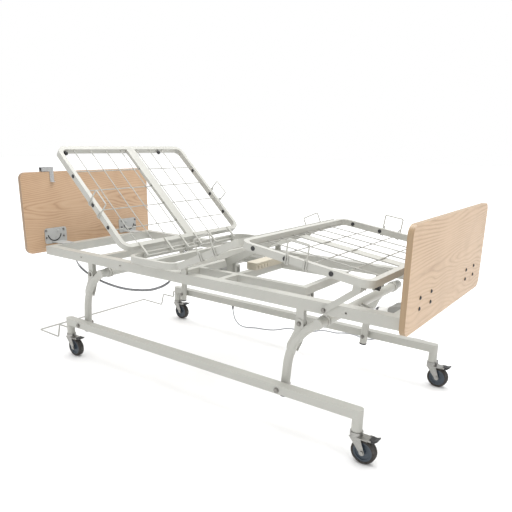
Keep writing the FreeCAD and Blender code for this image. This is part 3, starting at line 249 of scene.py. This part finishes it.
MATERIAL = {
    "white_powder_coat": STEEL_WHITE, "tyre_rubber": TYRE, "wheel_disc": DISC_MAT, "zinc_plate": ZINC,
    "black_plastic": BLACK_PLASTIC, "headboard_wood": HEAD_WOOD, "footboard_wood": FOOT_WOOD,
    "black_screws": BLACK_PLASTIC, "dark_zinc": DARK_ZINC, "bracket_plate": BRACKET_WHITE,
    "beige_plastic": BEIGE, "grey_pvc": CABLE_GREY, "dark_grey_plastic": DARK_GREY,
    "curly_cord": CURLY_MAT, "chrome_rod": CHROME, "bright_steel": BRIGHT,
}
for wire in ("wall_bumper_wire", "back_grid", "foot_grid"):
    MATERIAL[wire] = WIRE_WHITE
MOTORS = ("hilo_head", "hilo_foot", "back", "thigh")
MOTOR_GREY = (0.26, 0.26, 0.245)
TUBE_WHITE = (0.80, 0.80, 0.78)
for motor in MOTORS:
    MATERIAL[motor + "_motor"] = actuator(motor + "_mat", motor + "_motor_swing", motor + "_rod_slide",
                                          MOTOR_GREY, TUBE_WHITE)

# width of the rounded edge given to a CAD node, in metres
SOFT_EDGE = {
    "lower_rail_near": 0.004, "lower_rail_far": 0.004, "deck_rail_near": 0.004, "deck_rail_far": 0.004,
    "leg_posts": 0.002, "deck_cross_members": 0.003, "mech_frame": 0.0015, "seat_frame": 0.0025,
    "back_frame": 0.002, "thigh_frame": 0.002, "foot_frame": 0.002, "headboard": 0.0025,
    "footboard": 0.0025, "control_box": 0.003, "leg_frame_head": 0.0008, "leg_frame_foot": 0.0008,
    "back_centre_bar": 0.0012, "foot_centre_bar": 0.0012, "board_brackets": 0.0008,
    "calf_links": 0.001, "pendant_hook": 0.0006,
}


def soften_edges(obj, width):
    weld = obj.modifiers.new("weld", "WELD")
    weld.merge_threshold = 0.00002
    bevel = obj.modifiers.new("edge", "BEVEL")
    bevel.width = width
    bevel.segments = 2
    bevel.limit_method = "ANGLE"
    bevel.angle_limit = math.radians(38)
    smooth = obj.modifiers.new("normals", "WEIGHTED_NORMAL")
    smooth.weight = 80


def dress_cad_nodes():
    for name, obj in NODES.items():
        material = MATERIAL.get(name) or MATERIAL[SLOT_OF[name]]
        obj.data.materials.clear()
        obj.data.materials.append(material)
        if name in SOFT_EDGE:
            soften_edges(obj, SOFT_EDGE[name])


dress_cad_nodes()


# ---- mesh helpers ------------------------------------------------------------------------------
def add_object(name, data, body, material):
    obj = bpy.data.objects.new(name, data)
    bpy.context.scene.collection.objects.link(obj)
    data.materials.append(material)
    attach(obj, body)
    return obj


def mesh_from(bm, name, body, material, smooth=True):
    bmesh.ops.recalc_face_normals(bm, faces=bm.faces)
    for face in bm.faces:
        face.smooth = smooth
    mesh = bpy.data.meshes.new(name)
    bm.to_mesh(mesh)
    bm.free()
    mesh.set_sharp_from_angle(angle=math.radians(40))
    return add_object(name, mesh, body, material)


def lathe(bm, profile, at, axis, steps=24, hollow=False):
    """Turns (radius, height) pairs about an axis; a hollow one joins its last ring to its first."""
    turn = Vector(axis).normalized().to_track_quat("Z", "Y").to_matrix()
    rings = []
    for radius, height in profile:
        ring = []
        for k in range(steps):
            a = 2 * math.pi * k / steps
            local = Vector((radius * math.cos(a), radius * math.sin(a), height))
            ring.append(bm.verts.new(Vector(at) + turn @ local))
        rings.append(ring)
    for low, high in zip(rings, rings[1:] + rings[:1] if hollow else rings[1:]):
        for k in range(steps):
            bm.faces.new((low[k], low[(k + 1) % steps], high[(k + 1) % steps], high[k]))
    if not hollow:
        bm.faces.new(rings[0])
        bm.faces.new(rings[-1])


def prism(bm, outline, thick, to_world, bevel=0.0):
    """Extrudes a flat outline of (a, b) pairs; to_world(a, b, c) gives the point in the frame."""
    low = [bm.verts.new(to_world(a, b, 0.0)) for a, b in outline]
    high = [bm.verts.new(to_world(a, b, thick)) for a, b in outline]
    faces = [bm.faces.new(low), bm.faces.new(high)]
    count = len(outline)
    for k in range(count):
        faces.append(bm.faces.new((low[k], low[(k + 1) % count], high[(k + 1) % count], high[k])))
    if bevel:
        edges = list({e for f in faces for e in f.edges})
        bmesh.ops.bevel(bm, geom=edges, offset=bevel, segments=2, affect="EDGES", profile=0.5)


def nurbs(name, points, radius=0.0):
    """A NURBS curve with the given control points."""
    data = bpy.data.curves.new(name, "CURVE")
    data.dimensions = "3D"
    data.resolution_u = 12
    data.bevel_depth = radius
    data.bevel_resolution = 4
    data.use_fill_caps = True
    spline = data.splines.new("NURBS")
    spline.points.add(len(points) - 1)
    for point, place in zip(spline.points, points):
        point.co = (*place, 1)
    spline.order_u = 3
    spline.use_endpoint_u = True
    return data


# ---- cords -------------------------------------------------------------------------------------
MM = 0.001
LEAD_ROUTE = [
    (-337, 455, 136), (-334, 458, 98), (-326, 468, 60), (-310, 490, 24), (-286, 527, 3.5),
    (-243, 560, 3.5), (-187, 571, 3.5), (-131, 589, 3.5), (-97, 626, 3.5), (-79, 672, 3.5),
    (-41, 699, 3.5), (10, 694, 3.5), (58, 693, 3.5), (92, 716, 3.5), (107, 760, 3.5),
    (137, 795, 3.5), (183, 800, 3.5), (224, 799, 3.5), (253, 827, 3.5), (296, 847, 3.5),
    (346, 841, 3.5), (397, 816, 3.5), (440, 821, 3.5), (467, 859, 3.5), (489, 912, 3.5),
    (527, 962, 3.5), (584, 997, 3.5), (652, 1016, 3.5), (715, 1015, 3.5), (766, 989, 3.5),
    (799, 943, 3.5), (827, 888, 3.5), (849, 832, 3.5), (866, 779, 5.5), (880, 733, 10.0),
]
LEAD_DIAMETER = 0.007
CURLY_Y = -326.0
CURLY_XZ = [(-842, 546), (-832, 512), (-800, 481), (-752, 459), (-692, 441), (-630, 429), (-566, 421),
            (-500, 417), (-434, 417), (-370, 422), (-306, 431), (-244, 443), (-188, 463), (-137, 487),
            (-98, 517), (-76, 548)]
CURLY_WIRE = 0.0038
CURLY_RADIUS = 0.0045
CURLY_PITCH = 0.0066
CURLY_POINTS_PER_TURN = 12
CURLY_TAPER = 12           # the coils reach their full radius within one twelfth of the cord


def in_metres(route):
    return [Vector(p) * MM for p in route]


def route_points(route):
    """Closely spaced points of the smooth line that the route's control points give."""
    line = bpy.data.objects.new("route_line", nurbs("route_line", route))
    mesh = bpy.data.meshes.new_from_object(line)
    points = [v.co.copy() for v in mesh.vertices]
    bpy.data.meshes.remove(mesh)
    bpy.data.objects.remove(line)
    return points


def path_length(points):
    return sum((b - a).length for a, b in zip(points, points[1:]))


def at_length(points, wanted):
    """The point and direction at a distance along a polyline."""
    for a, b in zip(points, points[1:]):
        step = (b - a).length
        if wanted <= step:
            return a.lerp(b, wanted / step), (b - a).normalized()
        wanted -= step
    return points[-1].copy(), (points[-1] - points[-2]).normalized()


def mains_lead():
    route = in_metres(LEAD_ROUTE)
    lead = add_object("mains_lead_flex", nurbs("mains_lead_flex", route, LEAD_DIAMETER / 2), "base",
                      CABLE_GREY)
    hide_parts("mains_lead")
    path_length(route_points(route))


def curly_helix(points):
    """The coiled cord's own line: a helix about the route, drawn in to nothing at both ends."""
    total = path_length(points)
    turns = int(total / CURLY_PITCH)
    count = turns * CURLY_POINTS_PER_TURN
    helix = []
    for k in range(count + 1):
        share = k / count
        centre, ahead = at_length(points, total * share)
        side = Vector((0, 1, 0))
        up = side.cross(ahead)
        radius = CURLY_RADIUS * min(1.0, CURLY_TAPER * share, CURLY_TAPER * (1 - share))
        a = 2 * math.pi * k / CURLY_POINTS_PER_TURN
        helix.append(centre + radius * (math.cos(a) * side + math.sin(a) * up))
    return helix


def hand_cord():
    route = [Vector((x, CURLY_Y, z)) * MM for x, z in CURLY_XZ]
    helix = curly_helix(route_points(route))
    data = nurbs("hand_cord_line", helix, CURLY_WIRE / 2)
    data.resolution_u = 2
    data.bevel_resolution = 2
    line = bpy.data.objects.new("hand_cord_line", data)
    mesh = bpy.data.meshes.new_from_object(line)
    bpy.data.objects.remove(line)
    mesh.name = "hand_cord_coil"
    mesh.materials.clear()
    cord = add_object("hand_cord_coil", mesh, "deck", CURLY_MAT)
    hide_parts("hand_control_cord")
    smooth_line = route_points(helix)
    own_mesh(cord)


mains_lead()
hand_cord()


# ---- places in the sections' own frames --------------------------------------------------------
SECTION_TURN = {"back": 43.5, "thigh": -24.3, "foot": 7.94}
SECTION_HINGE = {"back": "back_tilt", "thigh": "thigh_tilt", "foot": "knee"}
SECTION_BODY = {"back": "back_section", "thigh": "thigh_section", "foot": "foot_section"}
SECTION_V = {"back": (-12, 18), "thigh": (-18, 12), "foot": (-15, 15)}
SECTION_HALF = 445
BEAM = 22


def in_section(name):
    """A function from (along, y, across) in millimetres in a section to a point in the frame."""
    hinge = Vector(JOINTS[SECTION_HINGE[name]]["pos_m"])
    turn = Matrix.Rotation(math.radians(SECTION_TURN[name]), 3, "Y")

    def to_world(x, y, z):
        return hinge + turn @ (Vector((x, y, z)) * MM)
    return to_world


def direction_in(name, x, y, z):
    place = in_section(name)
    return (place(x, y, z) - place(0, 0, 0)).normalized()


# ---- black plugs and bumpers on the sections ---------------------------------------------------
PLUG_PROFILE = [(0.0094, -0.0012), (0.0097, 0.0002), (0.0092, 0.0018), (0.0070, 0.0030), (0.0060, 0.0031),
                (0.0046, 0.0022), (0.0003, 0.0021)]
BACK_PLUGS = (195, 338, 529)
FOOT_PLUGS = (85, 236, 436)
BUMPER_U = 690
BUMPER_Y = (-396, 248)
BUMPER_PROFILE = [(0.0075, -0.001), (0.0095, 0.001), (0.0100, 0.009), (0.0085, 0.013), (0.005, 0.0155),
                  (0.0003, 0.016)]


def section_plugs(name, places, sign):
    """Plugs on the outer faces of both side beams and on the inner face of the far one."""
    place = in_section(name)
    middle = sum(SECTION_V[name]) / 2
    bm = bmesh.new()
    for u in places:
        for y, facing in ((-SECTION_HALF, -1), (SECTION_HALF - BEAM, -1), (SECTION_HALF, 1)):
            lathe(bm, PLUG_PROFILE, place(sign * u, y, middle), direction_in(name, 0, facing, 0), 18)
    mesh_from(bm, name + "_plugs", SECTION_BODY[name], BLACK_PLASTIC)


def back_bumpers():
    """Black stops on the inner side of the bar across the top of the back section."""
    place = in_section("back")
    middle = sum(SECTION_V["back"]) / 2
    bm = bmesh.new()
    for y in BUMPER_Y:
        lathe(bm, BUMPER_PROFILE, place(-BUMPER_U, y, middle), direction_in("back", 1, 0, 0), 20)
    mesh_from(bm, "back_bumpers", "back_section", BLACK_PLASTIC)


# ---- mattress retainer clips -------------------------------------------------------------------
RETAINER_AT = {"back": -317, "thigh": 202, "foot": 287}
RETAINER_HALF = 46
RETAINER_SPREAD = 9        # between the two legs of one foot
RETAINER_WIRE = 3.0


def retainer_clips(name):
    """The second leg of each retainer foot: the wire turns back beside itself round the beam."""
    place = in_section(name)
    low, high = SECTION_V[name]
    out = SECTION_HALF + RETAINER_WIRE + 0.3
    for side, tag in ((-1, "near"), (1, "far")):
        for end in (-1, 1):
            x = RETAINER_AT[name] + end * (RETAINER_HALF - RETAINER_SPREAD)
            near_wire = RETAINER_AT[name] + end * RETAINER_HALF
            under = low - RETAINER_WIRE - 0.6
            points = [(near_wire, out, high + 9), (x + end * 4, out, high + 10), (x, out, high + 4),
                      (x, out, (low + high) / 2), (x, out, low - 2),
                      (x, out - 4, under), (x, out - 16, under)]
            route = [place(a, side * b, c) for a, b, c in points]
            label = "_".join((name, "retainer_clip", tag, "a" if end < 0 else "b"))
            add_object(label, nurbs(label, route, RETAINER_WIRE * MM), SECTION_BODY[name], STEEL_WHITE)


# ---- screws, bolts and caps --------------------------------------------------------------------
def on_circle(radius, degrees):
    a = math.radians(degrees)
    return (radius * math.cos(a), radius * math.sin(a))


def hexagon(radius):
    return [on_circle(radius, 60 * k) for k in range(6)]


WASHER_THICK = 0.0018


def bolt_along_y(bm, at, side, across, thick, washer):
    """Washer, hexagon head with rounded corners, and a low dome on it."""
    x, y, z = at
    lathe(bm, [(washer, 0), (washer, 0.0014), (washer * 0.96, WASHER_THICK)], (x, y, z), (0, side, 0))
    prism(bm, hexagon(across / 2 / math.cos(math.pi / 6)), thick,
          lambda a, b, c: Vector((x + a, y + side * (WASHER_THICK + c), z + b)), 0.0009)
    top = y + side * (0.0016 + thick)
    lathe(bm, [(across * 0.40, 0), (across * 0.36, 0.0012), (across * 0.2, 0.0020), (0.0003, 0.0022)],
          (x, top, z), (0, side, 0))


def nut_along_y(bm, at, side, across, thick):
    x, y, z = at
    prism(bm, hexagon(across / 2 / math.cos(math.pi / 6)), thick,
          lambda a, b, c: Vector((x + a, y + side * c, z + b)), 0.0009)
    lathe(bm, [(across * 0.27, 0), (across * 0.27, 0.003), (across * 0.22, 0.0038)],
          (x, y + side * thick, z), (0, side, 0), 16)


# pivot bolts in metres; the _y values say how far out from the middle each piece starts
LOWER_PIVOT = {"head_y": 0.4452, "nut_y": 0.3598, "shank_y": 0.3600, "shank_radius": 0.006,
               "shank_length": 0.044, "across": 0.019, "head": 0.0050, "nut": 0.0080,
               "washer_radius": 0.0125}
POST_PIVOT = {"head_y": 0.3917, "nut_y": 0.3592, "shank_y": 0.358, "shank_radius": 0.005,
              "shank_length": 0.035, "across": 0.016, "head": 0.0042, "nut": 0.0065,
              "washer_radius": 0.0100}
LINK_PIVOT = {"head_y": 0.3950, "shank_y": 0.3872, "shank_radius": 0.005,
              "shank_length": 0.009, "across": 0.015, "head": 0.0042, "washer_radius": 0.0100}
FOOT_TOP_PIVOT = (0.663, 0.476)    # x, z of the foot legs' upper pivot, which has no joint


def pivot_bolts(bm, size, x, z):
    """A bolt and its shank on each side of the bed, with a nut where the sizes give one."""
    for side in (-1, 1):
        bolt_along_y(bm, (x, side * size["head_y"], z), side, size["across"], size["head"],
                     size["washer_radius"])
        if "nut" in size:
            nut_along_y(bm, (x, side * size["nut_y"], z), -side, size["across"], size["nut"])
        shank = [(size["shank_radius"], 0), (size["shank_radius"], size["shank_length"])]
        lathe(bm, shank, (x, side * size["shank_y"], z), (0, side, 0), 16)


def leg_pivot_hardware():
    bm = bmesh.new()
    for joint in ("hilo", "foot_leg_swing"):
        x, _, z = JOINTS[joint]["pos_m"]
        pivot_bolts(bm, LOWER_PIVOT, x, z)
    made = mesh_from(bm, "leg_pivot_hardware", "base", DARK_ZINC)
    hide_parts("leg_pivot_bolts")


def frame_pivot_hardware():
    bm = bmesh.new()
    head = JOINTS["deck_level"]["pos_m"]
    link = JOINTS["calf_link_swing"]["pos_m"]
    pivot_bolts(bm, POST_PIVOT, head[0], head[2])
    pivot_bolts(bm, POST_PIVOT, *FOOT_TOP_PIVOT)
    pivot_bolts(bm, LINK_PIVOT, link[0], link[2])
    made = mesh_from(bm, "frame_pivot_hardware", "deck", DARK_ZINC)
    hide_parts("frame_pivot_bolts")


LEG_CAP_PROFILE = [(0.0188, -0.006), (0.0192, -0.001), (0.0198, 0.0), (0.0198, 0.0035), (0.0175, 0.0055),
                   (0.008, 0.0062), (0.0004, 0.0063)]
LEG_LEAN = math.radians(5.4)    # of a leg tube's lower end towards the head of the bed
LEG_END = 0.042            # from the lower pivot to the tube's lower end
LEG_Y = 0.380              # middle of a leg tube, out from the bed's middle


def leg_caps(joint, body):
    """Black plastic caps pushed into the lower ends of the leg tubes."""
    pivot = JOINTS[joint]["pos_m"]
    down = Vector((-math.sin(LEG_LEAN), 0, -math.cos(LEG_LEAN)))
    bm = bmesh.new()
    for y in (-LEG_Y, LEG_Y):
        lathe(bm, LEG_CAP_PROFILE, Vector((pivot[0], y, pivot[2])) + down * LEG_END, down, 28)
    mesh_from(bm, body + "_caps", body, BLACK_PLASTIC)


BOARD_BOLT_Y = (0.219, 0.333)      # the boards' bolts, on both sides of the middle
BOARD_BOLT_Z = (0.611, 0.651)


def board_screw_heads():
    """Domed black screw heads on the boards' outer faces."""
    profile = [(0.0072, -0.0004), (0.0078, 0.0004), (0.0072, 0.0016), (0.0052, 0.0030), (0.0022, 0.0038),
               (0.0003, 0.0039)]
    bm = bmesh.new()
    for node, side, tag in (("footboard", 1, 1), ("headboard", -1, 0)):
        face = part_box(node)[tag].x
        for y in (-BOARD_BOLT_Y[1], -BOARD_BOLT_Y[0], *BOARD_BOLT_Y):
            for z in BOARD_BOLT_Z:
                lathe(bm, profile, (face, y, z), (side, 0, 0), 20)
    mesh_from(bm, "board_screw_heads", "deck", BLACK_PLASTIC)


def arc_slot(middle, radius, width, start, end, steps):
    """Outline of a curved slot in a plate, as (a, b) pairs; start and end are in degrees."""
    angles = [start + (end - start) * k / steps for k in range(steps + 1)]
    outer = [on_circle(radius + width / 2, a) for a in angles]
    inner = [on_circle(radius - width / 2, a) for a in reversed(angles)]
    return [(middle[0] + a, middle[1] + b) for a, b in outer + inner]


BRACKET_FACES = ((-1.080, 1), (1.086, -1))     # x of each end's inner face, and the way it looks
SLOT_MIDDLE = (0.280, 0.633)       # y, z of the curved slot's middle
SLOT_RADIUS = 0.043
SLOT_WIDTH = 0.0065
# thickness of the black sheet of painted shade that stands for each slot
SLOT_SHADE_THICK = 0.0005
BOSS_AT = (0.256, 0.646)           # y, z
BOSS_PROFILE = [(0.0085, -0.0004), (0.0085, 0.0030), (0.0070, 0.0044), (0.0040, 0.0048), (0.0003, 0.0049)]


def bracket_marks():
    """Black sheets of painted shade for the curved slots, a round boss and screw ends on the inner faces of the
    board brackets.
    """
    slots, screws, bosses = bmesh.new(), bmesh.new(), bmesh.new()
    for face, side in BRACKET_FACES:
        for hand in (-1, 1):
            middle = (hand * SLOT_MIDDLE[0], SLOT_MIDDLE[1])
            outline = arc_slot(middle, SLOT_RADIUS, SLOT_WIDTH, 190, 350, 20)
            prism(slots, outline, SLOT_SHADE_THICK,
                  lambda a, b, c: Vector((face + side * (c + 0.0001), a, b)))
            lathe(bosses, BOSS_PROFILE, (face, hand * BOSS_AT[0], BOSS_AT[1]), (side, 0, 0))
            for y in BOARD_BOLT_Y:
                for z in BOARD_BOLT_Z:
                    nut_along_x(screws, (face, hand * y, z), side)
    # the slots are black sheets of painted shade in the black plastic material, not openings
    mesh_from(slots, "bracket_slot_shade", "deck", BLACK_PLASTIC, False)
    mesh_from(screws, "bracket_nuts", "deck", ZINC)
    mesh_from(bosses, "bracket_bosses", "deck", BRACKET_WHITE)


def nut_along_x(bm, at, side):
    x, y, z = at
    prism(bm, hexagon(0.0058), 0.0052, lambda a, b, c: Vector((x + side * c, y + a, z + b)), 0.0006)
    lathe(bm, [(0.003, 0), (0.003, 0.0068), (0.0024, 0.0074)], (x + side * 0.0045, y, z), (side, 0, 0), 14)


# ---- foot section: blank plate -----------------------------------------------------------------
PLATE_U = (320, 437)       # millimetres in the foot section's own frame
PLATE_Y = (56, 160)
PLATE_V = -15.4
PLATE_THICK = 1.2


def foot_plate():
    """Thin blank plate lying under the foot section's wires."""
    place = in_section("foot")
    (u0, u1), (y0, y1) = PLATE_U, PLATE_Y
    outline = [(u0, y0), (u1, y0), (u1, y1), (u0, y1)]
    bm = bmesh.new()
    prism(bm, outline, PLATE_THICK, lambda a, b, c: place(a, b, PLATE_V + c))
    bmesh.ops.bevel(bm, geom=bm.edges[:], offset=0.0004, segments=2, affect="EDGES")
    mesh_from(bm, "blank_plate", "foot_section", PAPER)


# ---- actuators ---------------------------------------------------------------------------------
COLLAR_START = HOUSING_END - 0.001
TUBE_FIT_R = 0.0172        # just outside the tube, which the collar and the wiper ring go round
WIPER_R = 0.0112           # just outside the rod


def motor_trim(name):
    """Collar where the tube leaves the housing and a wiper ring at its mouth."""
    pivot = Vector(JOINTS[name + "_motor_swing"]["pos_m"])
    axis = Vector(JOINTS[name + "_rod_slide"]["axis"]).normalized()
    bm = bmesh.new()
    start = COLLAR_START
    collar = [(TUBE_FIT_R, start - 0.001), (0.0205, start - 0.001), (0.0225, start + 0.002),
              (0.0225, start + 0.012), (0.0195, start + 0.016), (TUBE_FIT_R, start + 0.017)]
    lathe(bm, collar, pivot, axis, 28, hollow=True)
    mesh_from(bm, name + "_collar", name + "_motor_body", MATERIAL[name + "_motor"])
    mouth = tube_length(name, pivot, axis)
    bm = bmesh.new()
    wiper = [(TUBE_FIT_R, mouth - 0.010), (0.0190, mouth - 0.009), (0.0190, mouth - 0.001),
             (0.0168, mouth + 0.0015), (WIPER_R, mouth + 0.0020), (WIPER_R, mouth + 0.0006),
             (TUBE_FIT_R, mouth + 0.0004)]
    lathe(bm, wiper, pivot, axis, 28, hollow=True)
    mesh_from(bm, name + "_wiper", name + "_motor_body", DARK_GREY)


def tube_length(name, pivot, axis):
    """How far the outer tube reaches from the tail pivot."""
    return max((v.co - pivot).dot(axis) for v in NODES[name + "_motor"].data.vertices)


def build_details():
    section_plugs("back", BACK_PLUGS, -1)
    section_plugs("foot", FOOT_PLUGS, 1)
    back_bumpers()
    for name in RETAINER_AT:
        retainer_clips(name)
    leg_pivot_hardware()
    frame_pivot_hardware()
    leg_caps("hilo", "leg_head")
    leg_caps("foot_leg_swing", "leg_foot")
    board_screw_heads()
    bracket_marks()
    foot_plate()
    for name in MOTORS:
        motor_trim(name)


build_details()


# ---- floor and light ---------------------------------------------------------------------------
FLOOR_HALF = 30.0
FLOOR_DROP = 0.0005        # keeps the floor just under the wheels
FAR_FLOOR_GLOW = 0.45      # keeps the floor white up to the horizon
GLOW_STARTS = 2.2          # metres from the middle of the floor
GLOW_FULL = 5.0
WORLD_LIGHT = 1.0
WORLD_SHADE = 0.6          # strength of the sky beyond the foot end, lower so that faces differ


def make_stage():
    n = Nodes("floor_mat")
    tone = n.ramp(n.noise(1.5, 3.0), [(0.3, (0.94, 0.94, 0.94)), (0.7, (0.96, 0.96, 0.96))])
    away = n.add("ShaderNodeVectorMath", {0: n.place}, operation="LENGTH").outputs["Value"]
    glow = n.add("ShaderNodeMapRange",
                 {"Value": away, "From Min": GLOW_STARTS, "From Max": GLOW_FULL, "To Max": FAR_FLOOR_GLOW})
    n.tree.links.new(glow.outputs["Result"], n.shader.inputs["Emission Strength"])
    n.finish(tone, 0.8, Emission_Color=(1, 1, 1, 1))
    mesh = bpy.data.meshes.new("floor")
    corners = [(x * FLOOR_HALF, y * FLOOR_HALF, 0) for x, y in ((-1, -1), (1, -1), (1, 1), (-1, 1))]
    mesh.from_pydata(corners, [], [(0, 1, 2, 3)])
    floor = bpy.data.objects.new("floor", mesh)
    mesh.materials.append(n.material)
    bpy.context.scene.collection.objects.link(floor)
    floor.location.z = -FLOOR_DROP


def area_light(name, place, target, size, power):
    data = bpy.data.lights.new(name, "AREA")
    data.shape = "RECTANGLE"
    data.size, data.size_y = size
    data.energy = power
    light = bpy.data.objects.new(name, data)
    bpy.context.scene.collection.objects.link(light)
    aim = (Vector(target) - Vector(place)).to_track_quat("-Z", "Y")
    light.matrix_world = Matrix.Translation(Vector(place)) @ aim.to_matrix().to_4x4()


def make_light():
    world = bpy.data.worlds.new("world")
    world.use_nodes = True
    tree = world.node_tree
    background = tree.nodes["Background"]
    background.inputs["Color"].default_value = (1, 1, 1, 1)
    place = tree.nodes.new("ShaderNodeTexCoord")
    split = tree.nodes.new("ShaderNodeSeparateXYZ")
    fall = tree.nodes.new("ShaderNodeMapRange")
    fall_range = {"From Min": 0.05, "From Max": 0.9, "To Min": WORLD_LIGHT, "To Max": WORLD_SHADE}
    for key, value in fall_range.items():
        fall.inputs[key].default_value = value
    tree.links.new(place.outputs["Generated"], split.inputs["Vector"])
    tree.links.new(split.outputs["X"], fall.inputs["Value"])
    tree.links.new(fall.outputs["Result"], background.inputs["Strength"])
    bpy.context.scene.world = world
    bpy.context.scene.view_settings.view_transform = "Standard"
    area_light("overhead", place=(0.2, 0.4, 4.2), target=(0, 0, 0.4), size=(4.5, 3.0), power=175)
    area_light("foot_side", place=(4.2, -1.2, 2.4), target=(0.6, 0, 0.6), size=(2.5, 2.0), power=22)


make_stage()
make_light()
